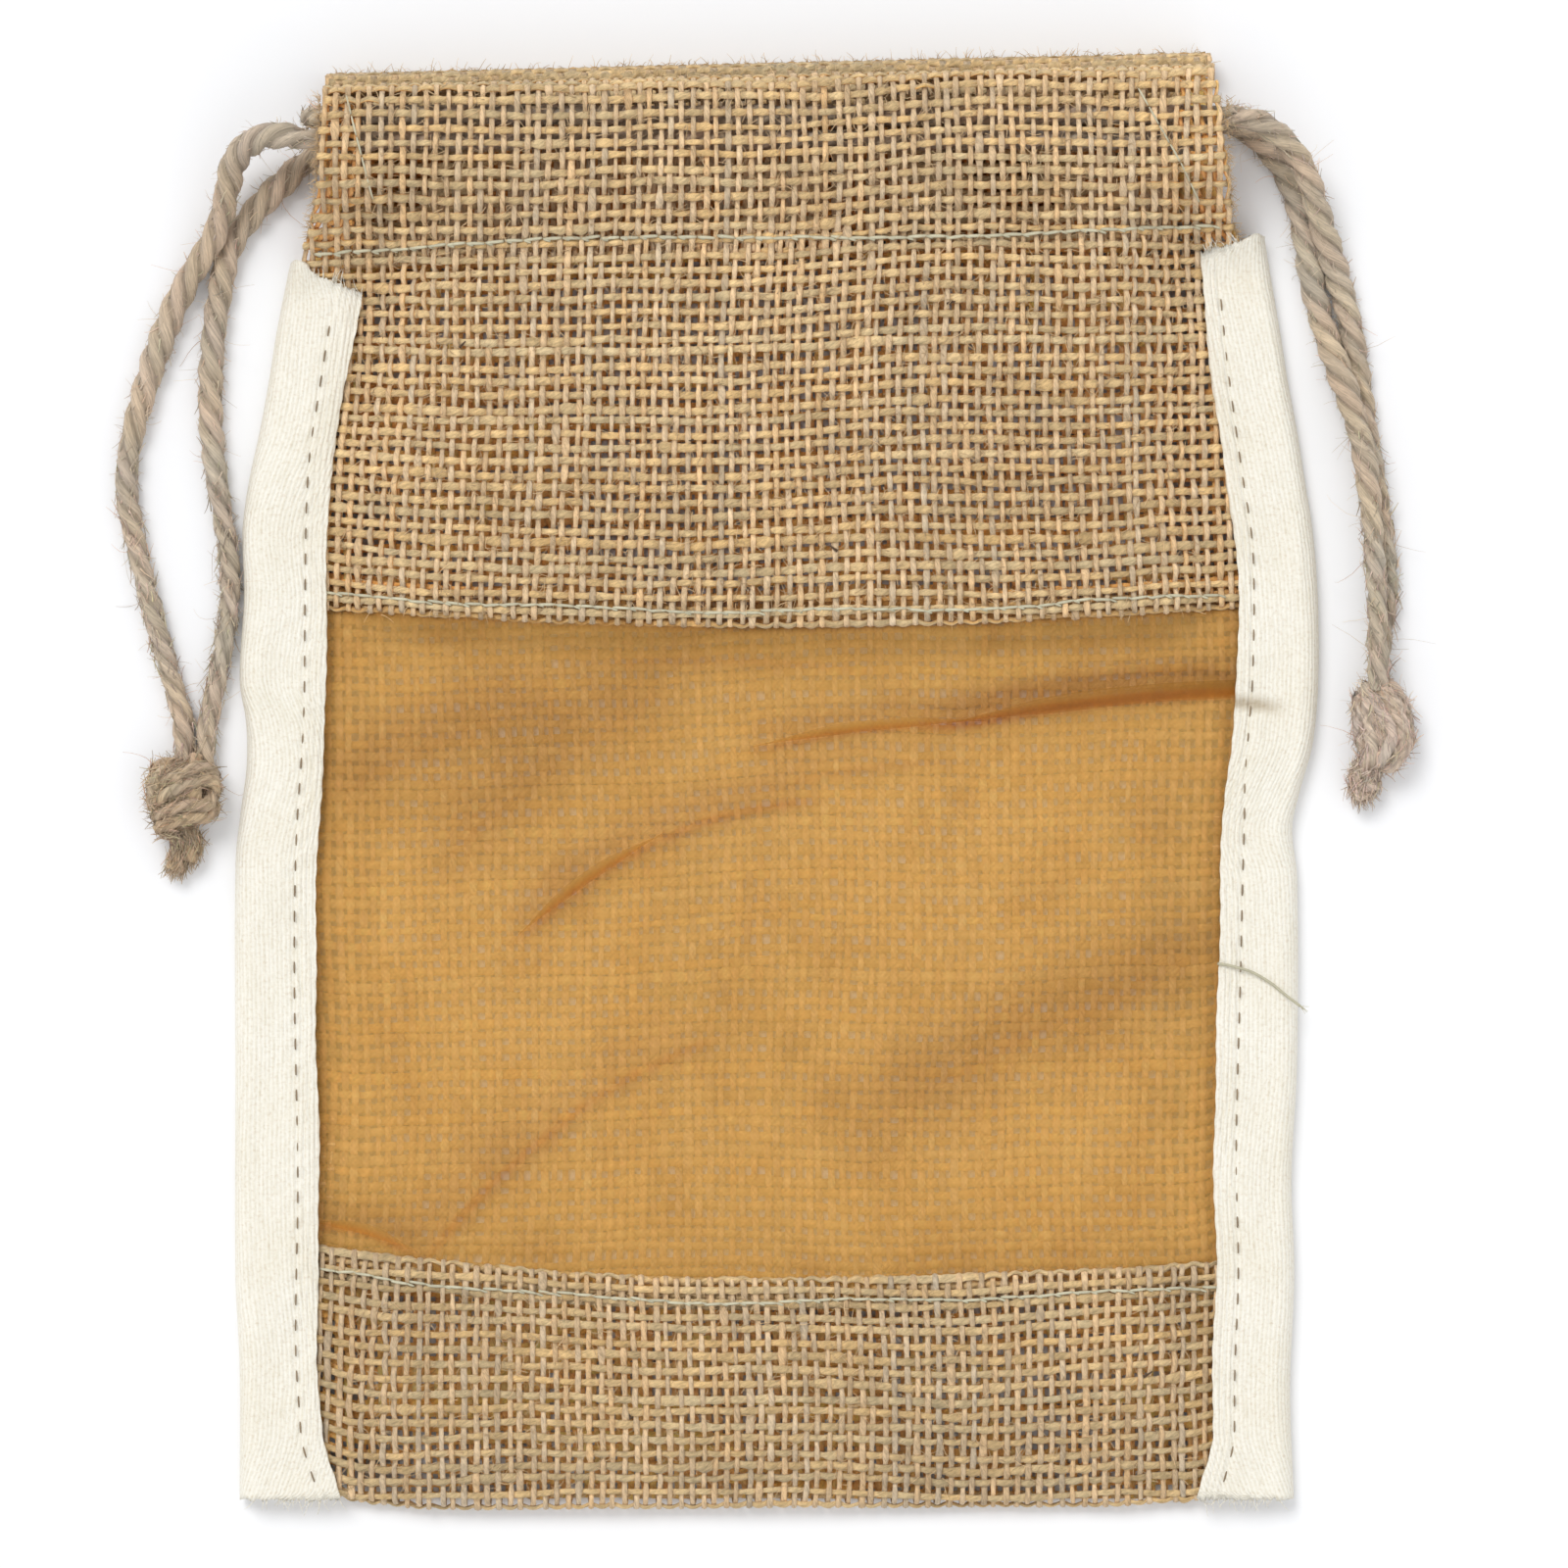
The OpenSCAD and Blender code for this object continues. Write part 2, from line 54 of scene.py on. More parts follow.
# Sizes of the CAD model.
POUCH_W, POUCH_L, SLANT, SLANT_X, CLOTH = 154.0, 205.4, 0.024, 62, 0.8
CASING, CHANNEL, FRONT_DROP, BELLY = 25.3, 3.2, 2.6, 6.6
FRONT_HEM_Z, FRONT_TOP_Z, FOLD_R = 9.0, 13.0, 2.4
BACK_SEAM_Z, FRONT_SEAM_Z = 0.75, 2.0
SEAM_FLAT, SEAM_RISE, CORNER_X = 2.0, 11.0, 64.0
HEM_GAP, TAPE_GAP, TAPE_T = 0.4, 0.25, 0.7
TAPE_W = {-1: 11.8, 1: 11.2}
FOLD_CLEAR, FLARE_Y, FLARE_L, FLARE_W = 2.6, -92.0, 11.0, 2.2
HEM_END = {-1: 60.7, 1: 57.2}
INSET = {
    -1: [(-103, 1.6), (-83, 1.6), (-70, 1), (-42, 1), (-12, 1), (-5, 1.7), (2, 2.6), (8, 2.5), (14, 1.6),
         (26, 2.2), (35, 2), (42, 2.9), (49, 4.4), (56, 5.7), (63, 6.8), (74, 9)],
    1: [(-103, 3.4), (-86, 4), (-70, 3.4), (-56, 3.8), (-40, 3), (-14, 3), (-7, 3.7), (-2, 2.7), (5, 0.8),
        (14, 0), (26, 0.1), (35, 0.8), (42, 1.9), (49, 3), (56, 4.3), (63, 5.4), (76, 7.6)],
}
SEAM = {
    -1: [(-103, 2.2), (-92, 1.6), (-80, 0.9), (-56, 1.2), (-28, 0.7), (-8, 1), (8, 2), (24, 2.2), (38, 2.4),
         (46, 2.9), (54, 4.1), (64, 5.7), (74, 7.5)],
    1: [(-103, 3.9), (-84, 3.9), (-70, 3.4), (-52, 3.7), (-28, 3.1), (-8, 2.6), (0, 2.1), (6, 1.2), (14, 0.5),
        (28, 0.3), (35, 0.7), (42, 1.8), (49, 2.8), (60, 4.2), (78, 5.9)],
}
CASING_HALF = {
    -1: [(0, 63.1), (10, 63.4), (17, 63.8), (22, 64.8), (26, 66.2), (34, 67)],
    1: [(0, 61.2), (10, 62.3), (18, 63.4), (25, 64.6), (34, 65.8)],
}
STRIP_EDGE = [(-76, -65.4), (-47, -68.3), (-26, -70.1), (2, -70.8), (76, -68.4)]
FRONT_LIFT = [(0, FRONT_TOP_Z), (5, FRONT_TOP_Z), (16.5, FRONT_TOP_Z), (CASING, 9.95),
              (CASING + 4, 10.0), (42, BELLY + 0.9), (55, BELLY + 0.3), (78, BELLY), (130, BELLY),
              (170, BELLY - 0.2), (191, BELLY - 0.6), (202.5, 2.4)]

# Routes of the drawstrings, as in the CAD model.
LEFT_ROUTE = [
    (-83.4, 1, 2.2), (-83.2, 4.4, 1.8), (-83.5, 9, 1.5), (-85, 14, 1.5), (-86.7, 20, 1.5),
    (-88.4, 26.5, 1.5), (-90, 33, 1.5), (-91.2, 40, 1.5), (-91, 46, 1.5), (-89.6, 52, 1.5),
    (-87.8, 58, 1.5), (-85.8, 63.5, 1.5), (-83.6, 68.5, 1.7), (-81.4, 72.3, 2.7), (-79.2, 75.6, 3.9),
    (-77.6, 79.4, 4.9), (-76.6, 83.6, 6), (-75.4, 87.2, 7.3), (-73, 89.4, 8.7), (-69.8, 90.2, 10.1),
    (-66.4, 89.7, 11), (-62.8, 89.4, 11.4), (-58, 89.4, 11.4), (-20, 89.4, 11.4), (20, 89.4, 11.4),
    (53, 89.4, 11.4), (57, 89.4, 11.4), (60.2, 89.4, 10.1), (61.5, 89.4, 6.9), (60.2, 89.4, 3.7),
    (57, 89.4, 2.4), (53, 89.4, 2.4), (20, 89.4, 2.4), (-20, 89.4, 2.4), (-59, 89.4, 2.4),
    (-63, 89, 2.4), (-66.4, 86.8, 2.1), (-69.6, 83.8, 1.7), (-72.6, 80.8, 1.5), (-75.2, 77.6, 1.5),
    (-77, 74, 1.5), (-78, 69.5, 1.5), (-79, 63, 1.5), (-79.5, 54, 1.5), (-79, 45.5, 1.5),
    (-77.9, 38, 1.5), (-76.9, 31.5, 1.5), (-76.7, 26, 1.5), (-77.5, 19.5, 1.5), (-78.8, 12.7, 1.5),
    (-80, 6.5, 1.7), (-80.2, 2, 2.2)]
RIGHT_ROUTE = [
    (85.4, 12.5, 2), (85.6, 16.5, 1.5), (86.1, 21, 1.5), (86.6, 26, 1.5), (86.5, 32, 1.5),
    (85.7, 38, 1.5), (84.8, 43.5, 1.5), (83.7, 49, 1.5), (82.9, 55, 1.5), (82, 61, 1.5),
    (80.9, 66.5, 1.5), (79.6, 71, 1.8), (78.2, 75.4, 3), (76.9, 79.4, 4.5), (75.7, 83.2, 6),
    (73.9, 87, 7.6), (71.2, 90, 9.2), (67.8, 92.1, 10.6), (64.2, 92.9, 11.3), (60, 92.9, 11.4),
    (20, 92.9, 11.4), (-20, 92.9, 11.4), (-56.5, 92.9, 11.4), (-60.5, 92.9, 11.4),
    (-63.7, 92.9, 10.1), (-65, 92.9, 6.9), (-63.7, 92.9, 3.7), (-60.5, 92.9, 2.4),
    (-56.5, 92.9, 2.4), (-20, 92.9, 2.4), (20, 92.9, 2.4), (60, 92.9, 2.4), (63.8, 92.6, 2.3),
    (67.2, 91.1, 2), (70.2, 88.5, 1.6), (72.6, 85, 1.5), (74.2, 80.6, 1.5), (75.2, 75.4, 1.5),
    (76, 70.2, 1.5), (77.3, 65, 1.6), (79, 59.6, 2.8), (80.9, 54, 4.4), (82.6, 48.4, 4.6),
    (83.6, 43, 4.6), (84.2, 37.5, 4.6), (84.7, 31.5, 4.6), (85, 25.5, 4.6), (85.1, 20, 4.6),
    (85.2, 16, 4.6), (85.2, 12.5, 4.4)]
CORD_D = 3.0
SIDES = ((-1, "left"), (1, "right"))

# Colours, as linear light.
JUTE = np.array((0.695, 0.49, 0.268))
TWINE = np.array((0.66, 0.53, 0.395))
COTTON = np.array((0.94, 0.905, 0.81))
GOLD = np.array((0.77, 0.43, 0.09))
PALE_THREAD = np.array((0.62, 0.58, 0.42))
DARK_THREAD = np.array((0.30, 0.22, 0.14))


# ---------------------------------------------------------------- camera, floor and light
def new_object(name, data):
    made = bpy.data.objects.new(name, data)
    bpy.context.scene.collection.objects.link(made)
    return made


def make_studio():
    camera = new_object("camera", bpy.data.cameras.new("camera"))
    camera.data.lens = 180
    camera.data.sensor_width = 36
    camera.location = (0.0015, -0.0007, 1.1085)
    camera.data.clip_end = 20
    bpy.context.scene.camera = camera
    bpy.context.scene.view_settings.view_transform = "Standard"

    half = 3.0
    mesh = bpy.data.meshes.new("floor")
    mesh.from_pydata([(-half, -half, 0), (half, -half, 0), (half, half, 0), (-half, half, 0)], [],
                     [(0, 1, 2, 3)])
    floor = new_object("floor", mesh)
    paint = bpy.data.materials.new("floor")
    paint.use_nodes = True
    shader = paint.node_tree.nodes["Principled BSDF"]
    shader.inputs["Base Color"].default_value = (0.93, 0.93, 0.94, 1)
    shader.inputs["Roughness"].default_value = 0.9
    shader.inputs["Specular IOR Level"].default_value = 0.0
    mesh.materials.append(paint)

    world = bpy.data.worlds.new("studio")
    bpy.context.scene.world = world
    world.use_nodes = True
    world.node_tree.nodes["Background"].inputs["Color"].default_value = (0.97, 0.985, 1.0, 1)
    world.node_tree.nodes["Background"].inputs["Strength"].default_value = 0.73
    for name, energy, soft, turn in (("key", 1.38, 28, (-32, -24, 0)), ("fill", 0.35, 60, (40, 30, 0))):
        lamp = new_object(name, bpy.data.lights.new(name, "SUN"))
        lamp.data.energy = energy
        lamp.data.angle = math.radians(soft)
        lamp.rotation_euler = [math.radians(a) for a in turn]


# ---------------------------------------------------------------- shapes of the CAD model
def smooth(t):
    t = np.clip(t, 0.0, 1.0)
    return t * t * (3 - 2 * t)


def mix(a, b, t):
    return a + (b - a) * t


def curve(points, x):
    """A smooth curve through (place, value) pairs, the same as the CAD model's."""
    p = np.asarray(points, float)
    last = len(p) - 1
    ahead, behind = np.minimum(np.arange(last + 1) + 1, last), np.maximum(np.arange(last + 1) - 1, 0)
    slope = (p[ahead, 1] - p[behind, 1]) / (p[ahead, 0] - p[behind, 0])
    i = np.clip(np.searchsorted(p[:, 0], x, side="right") - 1, 0, last - 1)
    h = p[i + 1, 0] - p[i, 0]
    t = np.clip((x - p[i, 0]) / h, 0, 1)
    return (p[i, 1] * (1 + 2 * t) * (1 - t) ** 2 + h * slope[i] * t * (1 - t) ** 2
            + p[i + 1, 1] * t * t * (3 - 2 * t) - h * slope[i + 1] * t * t * (1 - t))


def value_at(surface, x, y):
    """The value of a surface, or of a half width, at one point."""
    return float(surface(np.array(x), np.array(y)))


def by_side(x, left, right):
    return np.where(np.asarray(x) < 0, left, right)


def side_curve(table, x, at):
    """The value at a place on the curve of the side that x is on."""
    return by_side(x, curve(table[-1], at), curve(table[1], at))


def mouth_y(x):
    return POUCH_L / 2 + SLANT * (x - SLANT_X)


def stitch_y(x):
    return mouth_y(x) - CASING


def bottom_y(x):
    return -POUCH_L / 2 + 2 * smooth((np.abs(x) - 58) / 8)


def window_top_y(x):
    return 21.7 + 2.6 * (x / 63) ** 2


def outer(x, y):
    """Half width of the pouch over its bindings, on the side that x is on."""
    return POUCH_W / 2 - side_curve(INSET, x, y)


def inner(x, y):
    """Half width between the bindings."""
    taped = by_side(x, TAPE_W[-1], TAPE_W[1]) + side_curve(SEAM, x, y)
    return POUCH_W / 2 - taped - FLARE_W * smooth((FLARE_Y - y) / FLARE_L)


# How far below the mouth the casing's own outline reaches.
CASING_REACH = 31.0


def edge(x, y):
    """Half width of the cloth itself."""
    below = mouth_y(by_side(x, -CORNER_X, CORNER_X)) - y
    casing = side_curve(CASING_HALF, x, below)
    return mix(outer(x, y) - FOLD_CLEAR, casing, smooth((CASING_REACH - below) / 7))


def off_seam(x, y):
    return smooth((inner(x, y) - np.abs(x) - SEAM_FLAT) / SEAM_RISE)


def lifted(x, y):
    return 1 - (1 - off_seam(x, y)) * (1 - smooth((33 - mouth_y(x) + y) / 18))


def back_z(x, y):
    below = mouth_y(x) - y
    return BACK_SEAM_Z * (1 - off_seam(x, y)) * (1 - smooth((CASING - 0.5 - below) / 4))


def front_z(x, y):
    return mix(FRONT_SEAM_Z, curve(FRONT_LIFT, mouth_y(x) - y), lifted(x, y))


def back_hem_z(x, y):
    return (back_z(x, y) + CLOTH + 0.1
            + (CHANNEL - 0.1) * smooth((CASING - mouth_y(x) + y) / 8.5))


def front_hem_z(x, y):
    under = curve(FRONT_LIFT, mouth_y(x) - y) - CLOTH - HEM_GAP
    return mix(FRONT_SEAM_Z - CLOTH - HEM_GAP, np.minimum(FRONT_HEM_Z, under), lifted(x, y))


# ---------------------------------------------------------------- how the real cloth lies
def ripple(x, y):
    """Low, soft waves over the hessian, in the front's upper part and in its lower strip."""
    wave = (0.30 * np.sin(x / 9.5 + y / 21 + 0.6) + 0.24 * np.sin(x / 23 - y / 7.5 + 2.1)
            + 0.16 * np.sin(x / 5.7 - y / 15 + 4.0))
    return wave * (0.25 + 0.75 * off_seam(x, y))


def stitch_dip(x, y):
    """The groove that the casing's stitches pull into the cloth."""
    return -0.45 * np.exp(-((y - stitch_y(x) + 0.5 * np.sin(x / 15)) / 1.2) ** 2)


def cord_bulge(x, y):
    """The cloth stands higher over the cords where they leave the casing."""
    below = mouth_y(x) - y
    return 0.8 * smooth((np.abs(x) - 50) / 10) * smooth((below - 3) / 5) * (1 - smooth((below - 15) / 6))


def front_mid_z(x, y):
    top = smooth((y - 10) / 10)
    return front_z(x, y) + CLOTH / 2 + 0.8 * ripple(x, y) + top * (stitch_dip(x, y) + cord_bulge(x, y))


def narrowed(s, y):
    return s * (1 - 0.03 * smooth((y - 40) / 60))


def drift(s, t):
    """Slow sideways drift of the yarns from straight lines."""
    return (0.45 * np.sin(t / 17 + s / 40 + 1.0) + 0.25 * np.sin(t / 8.3 - s / 22),
            0.40 * np.sin(s / 14 + t / 45 + 2.2) + 0.22 * np.sin(s / 6.9 + t / 30 + 0.4))


ROLL_R = FOLD_R - CLOTH / 2
QUARTER = math.pi / 2 * ROLL_R
TUCK_R, TUCK_L = 0.45, 5.5
HEM_R, HEM_L = 0.38, 4.6
FRONT_START = FRONT_DROP + FOLD_R
FRONT_END = 79.2
# Between these two depths the wefts turn from the mouth's line to the window's.
MIX_FROM, MIX_TO = 31.0, 79.5
SIDE_GAP = 0.2


def place_front(s, u):
    """The upper front: u runs from the casing's fold, down the front above 0, down the hem below."""
    d = FRONT_START + np.maximum(np.abs(u) - QUARTER, 0)
    over = np.where(u > 0, np.maximum(d - FRONT_END, 0), 0)
    d = np.where(u > 0, np.minimum(d, FRONT_END), d)
    x = narrowed(s, mouth_y(s) - d)
    share = np.where(u > 0, (d - MIX_FROM) / (MIX_TO - MIX_FROM), 0)
    y = np.where(share > 0, mix(mouth_y(x) - MIX_FROM, window_top_y(x), share), mouth_y(x) - d)
    turn = np.clip(u / ROLL_R, -math.pi / 2, math.pi / 2)
    rolled = FRONT_HEM_Z + FOLD_R + ROLL_R * np.sin(turn)
    face = front_mid_z(x, y)
    hem = front_hem_z(x, y) + CLOTH / 2
    z = np.where(u >= QUARTER, face, np.where(u <= -QUARTER, hem, rolled))
    bend = np.minimum(over / HEM_R, math.pi)
    y = (y + ROLL_R * np.cos(turn) * (np.abs(u) < QUARTER) - HEM_R * np.sin(bend)
         + np.maximum(over - math.pi * HEM_R, 0))
    z = z - HEM_R * (1 - np.cos(bend))
    # The casing's side edges are turned in under the outer layer.
    half = edge(x, y) - TUCK_R
    past = np.maximum(np.abs(x) - half, 0) * ((u > QUARTER) & (d < 30))
    swing = np.minimum(past / TUCK_R, math.pi)
    tucked = half + TUCK_R * np.sin(swing) - np.maximum(past - math.pi * TUCK_R, 0)
    x = np.where(past > 0, np.sign(x) * tucked, x)
    z = z - np.where(past > 0, TUCK_R * (1 - np.cos(swing)), 0)
    return np.stack([x, y, z], -1)


def inside_front(s, u):
    d = FRONT_START + np.maximum(np.abs(u) - QUARTER, 0)
    x = narrowed(s, mouth_y(s) - d)
    y = mouth_y(x) - d
    limit = edge(x, y) - SIDE_GAP
    limit = np.where((u > QUARTER) & (d < 29), limit + (math.pi - 1) * TUCK_R + TUCK_L, limit)
    limit = np.where(u < -QUARTER, by_side(x, HEM_END[-1], HEM_END[1]), limit)
    return np.abs(x) <= limit


BACK_LIFT = 0.15
BACK_MIX = 100.0
BACK_END = 202.3
TURN_IN = 1.6


def place_back(s, v):
    """The back: v runs from the mouth's fold, down the back above 0 and down the hem below 0."""
    d = FOLD_R + np.maximum(np.abs(v) - QUARTER, 0)
    x = narrowed(s, mouth_y(s) - d)
    share = (d - BACK_MIX) / (BACK_END - BACK_MIX)
    y = np.where(share > 0, mix(mouth_y(x) - BACK_MIX, bottom_y(x) + TURN_IN, share), mouth_y(x) - d)
    turn = np.clip(-v / ROLL_R, -math.pi / 2, math.pi / 2)
    z = np.where(v >= QUARTER, back_z(x, y) + CLOTH / 2,
                 np.where(v <= -QUARTER, back_hem_z(x, y) + CLOTH / 2, FOLD_R + ROLL_R * np.sin(turn)))
    return np.stack([x, y + ROLL_R * np.cos(turn) * (np.abs(v) < QUARTER), z + BACK_LIFT], -1)


def inside_back(s, v):
    d = FOLD_R + np.maximum(np.abs(v) - QUARTER, 0)
    x = narrowed(s, mouth_y(s) - d)
    limit = edge(x, mouth_y(x) - d) - SIDE_GAP
    return np.abs(x) <= np.where(v < -QUARTER, by_side(x, HEM_END[-1], HEM_END[1]), limit)


STRIP_L = 30.3
STRIP_ARC = 3.6


def place_strip(s, w):
    """The lower front: w runs round the bottom turn and up to the window's lower seam."""
    low = bottom_y(s) + TURN_IN
    share = np.clip((w - STRIP_ARC) / STRIP_L, 0, 1)
    over = np.maximum(w - STRIP_ARC - STRIP_L, 0)
    bend = np.minimum(over / HEM_R, math.pi)
    y = mix(low, curve(STRIP_EDGE, s), share)
    lower, upper = back_z(s, low) + CLOTH / 2 + BACK_LIFT, front_z(s, low + 1.5) + CLOTH / 2
    r = (upper - lower) / 2
    swing = np.clip(w / STRIP_ARC, 0, 1) * math.pi
    face = np.maximum(front_z(s, y), front_z(s, low + 1.5)) + CLOTH / 2
    z = np.where(w < STRIP_ARC, lower + r * (1 - np.cos(swing)), face + ripple(s, y) * smooth(share * 4))
    y = (y - np.where(w < STRIP_ARC, r * np.sin(swing), 0) + HEM_R * np.sin(bend)
         - np.maximum(over - math.pi * HEM_R, 0))
    return np.stack([s, y, z - HEM_R * (1 - np.cos(bend))], -1)


def inside_strip(s, w):
    y = mix(bottom_y(s), curve(STRIP_EDGE, s), (w - STRIP_ARC) / STRIP_L)
    return np.abs(s) <= edge(s, y) - SIDE_GAP


# ---------------------------------------------------------------- meshes
class Maker:
    """Collects tubes and slabs of quads, with a fibre coordinate and a colour at each point."""

    def __init__(self):
        self.points, self.quads, self.fibre, self.dye, self.count = [], [], [], [], 0

    def add(self, points, quads, fibre, dye):
        points = points.reshape(-1, 3)
        self.quads.append(quads + self.count)
        self.points.append(points)
        self.fibre.append(fibre.reshape(-1, 3))
        self.dye.append(np.broadcast_to(dye, points.shape) if np.ndim(dye) == 1 else dye.reshape(-1, 3))
        self.count += len(points)

    def tube(self, rings, fibre, dye):
        n, k = rings.shape[:2]
        i, j = np.meshgrid(np.arange(n - 1), np.arange(k), indexing="ij")
        a, b = (i * k + j).ravel(), (i * k + (j + 1) % k).ravel()
        walls = np.stack([a, a + k, b + k, b], 1)
        fan = np.array([(0, m, m + 1, m + 2) for m in range(1, k - 2, 2)])
        self.add(rings, np.concatenate([walls, fan, fan[:, ::-1] + (n - 1) * k]), fibre, dye)

    def slab(self, top, under, fibre, dye):
        """A closed sheet between two grids of the same size."""
        rows, cols = top.shape[:2]
        size = rows * cols
        i, j = np.meshgrid(np.arange(rows - 1), np.arange(cols - 1), indexing="ij")
        a = (i * cols + j).ravel()
        face = np.stack([a, a + 1, a + cols + 1, a + cols], 1)
        rim = np.concatenate([np.arange(cols), np.arange(1, rows) * cols + cols - 1,
                              (rows - 1) * cols + np.arange(cols - 2, -1, -1),
                              np.arange(rows - 2, 0, -1) * cols])
        after = np.roll(rim, -1)
        sides = np.stack([after, rim, rim + size, after + size], 1)
        self.add(np.concatenate([top.reshape(-1, 3), under.reshape(-1, 3)]),
                 np.concatenate([face, face[:, ::-1] + size, sides]),
                 np.concatenate([fibre.reshape(-1, 3)] * 2),
                 dye if np.ndim(dye) == 1 else np.concatenate([dye.reshape(-1, 3)] * 2))


def make_object(name, maker, material, slot):
    points = np.concatenate(maker.points) / 1000
    quads = np.concatenate(maker.quads)
    mesh = bpy.data.meshes.new(name)
    mesh.vertices.add(len(points))
    mesh.vertices.foreach_set("co", points.ravel())
    mesh.loops.add(quads.size)
    mesh.loops.foreach_set("vertex_index", quads.ravel())
    mesh.polygons.add(len(quads))
    mesh.polygons.foreach_set("loop_start", np.arange(0, quads.size, 4))
    mesh.polygons.foreach_set("use_smooth", np.ones(len(quads), bool))
    mesh.update(calc_edges=True)
    fibre = mesh.attributes.new("fibre", "FLOAT_VECTOR", "POINT")
    fibre.data.foreach_set("vector", np.concatenate(maker.fibre).astype(np.float32).ravel())
    dye = np.concatenate(maker.dye)
    dye = np.concatenate([np.clip(dye, 0, 1), np.ones((len(dye), 1))], 1)
    colour = mesh.attributes.new("dye", "FLOAT_COLOR", "POINT")
    colour.data.foreach_set("color", dye.astype(np.float32).ravel())
    mesh.materials.append(material)
    piece = new_object(name, mesh)
    return piece


def unit(v):
    return v / np.maximum(np.linalg.norm(v, axis=-1, keepdims=True), 1e-9)


def run_of(line):
    """The distance along a line to each of its points."""
    return np.concatenate([[0], np.cumsum(np.linalg.norm(np.diff(line, axis=0), axis=1))])


def along_of(line):
    """The direction of a line at each of its points."""
    return unit(np.gradient(line, axis=0))


def axes_of(line, up):
    """Directions across a line and towards its upper side, at each of its points."""
    along = along_of(line)
    across = unit(np.cross(along, up))
    return across, np.cross(across, along)


def sweep(line, up, wide, high, sides, phase=0.0, twist=0.0):
    """Rings of an oval tube along a line, and fibre coordinates that turn by twist for each millimetre."""
    across, top = axes_of(line, up)
    angle = 2 * math.pi * (np.arange(sides) + phase) / sides
    wide, high = np.broadcast_to(wide, len(line))[:, None], np.broadcast_to(high, len(line))[:, None]
    out, rise = wide * np.cos(angle), high * np.sin(angle)
    rings = line[:, None] + across[:, None] * out[..., None] + top[:, None] * rise[..., None]
    run = run_of(line)
    wound = angle - twist * run[:, None]
    fibre = np.stack([np.broadcast_to(run[:, None], out.shape), wide * np.cos(wound),
                      high * np.sin(wound)], -1)
    return rings, fibre


# ---------------------------------------------------------------- woven hessian
WARP_PITCH, WEFT_PITCH = 1.59, 1.92
WARPS = (np.arange(-53, 54) + 0.5) * WARP_PITCH
WARP_W, WARP_H, WARP_RISE = 0.43, 0.26, 0.25
WEFT_W, WEFT_H, WEFT_RISE = 0.56, 0.27, 0.21
WARP_TONE, WEFT_TONE = (1.02, 1.04, 1.14), (0.98, 1.0, 0.95)
# Painted light: warmer tones for cloth seen through other cloth, the first under the hessian, the second
# behind the sheer window.
COVERED_LIGHT_TONE, WINDOW_LIGHT_TONE = np.array((1.42, 1.05, 0.64)), np.array((1.12, 0.94, 0.70))


def wander(rows, points, step, amount):
    """Smooth random change along each of several yarns, with a new value about every step points."""
    values = rng.uniform(-1, 1, (rows, int(points / step) + 3))
    at = np.linspace(0, values.shape[1] - 1.001, points)
    i = at.astype(int)
    f = smooth(at - i)
    return amount * (values[:, i] * (1 - f) + values[:, i + 1] * f)


def between(a, parts):
    """Each row, with evenly spaced points put between every two neighbours."""
    at = np.arange((a.shape[1] - 1) * parts + 1) / parts
    i = np.minimum(at.astype(int), a.shape[1] - 2)
    return a[:, i] + (a[:, i + 1] - a[:, i]) * (at - i)


def yarn_paths(place, s, t, rise):
    """Points and upward directions along each yarn, which rises by rise at each crossing."""
    e = 0.05
    mid = place(s, t)
    up = unit(np.cross(place(s, t + e) - place(s, t - e), place(s + e, t) - place(s - e, t)))
    return mid + up * rise[..., None], up


def patch(line):
    """Soft colour patches over the whole cloth."""
    x, y = line[..., 0], line[..., 1]
    return (0.035 * np.sin(x / 11 + y / 29) + 0.03 * np.sin(y / 12 - x / 33 + 2)
            + 0.02 * np.sin(x / 4.3 + y / 5.1))


def through_light_tone(line):
    """Painted light: cloth that is seen through other cloth is painted warmer, for the light that reaches it
    through the jute, and least so behind the sheer window.
    """
    y = line[..., 1]
    covered = smooth((y - 24) / 4) + smooth((-y - 68) / 4)
    return mix(WINDOW_LIGHT_TONE, COVERED_LIGHT_TONE, covered[..., None])


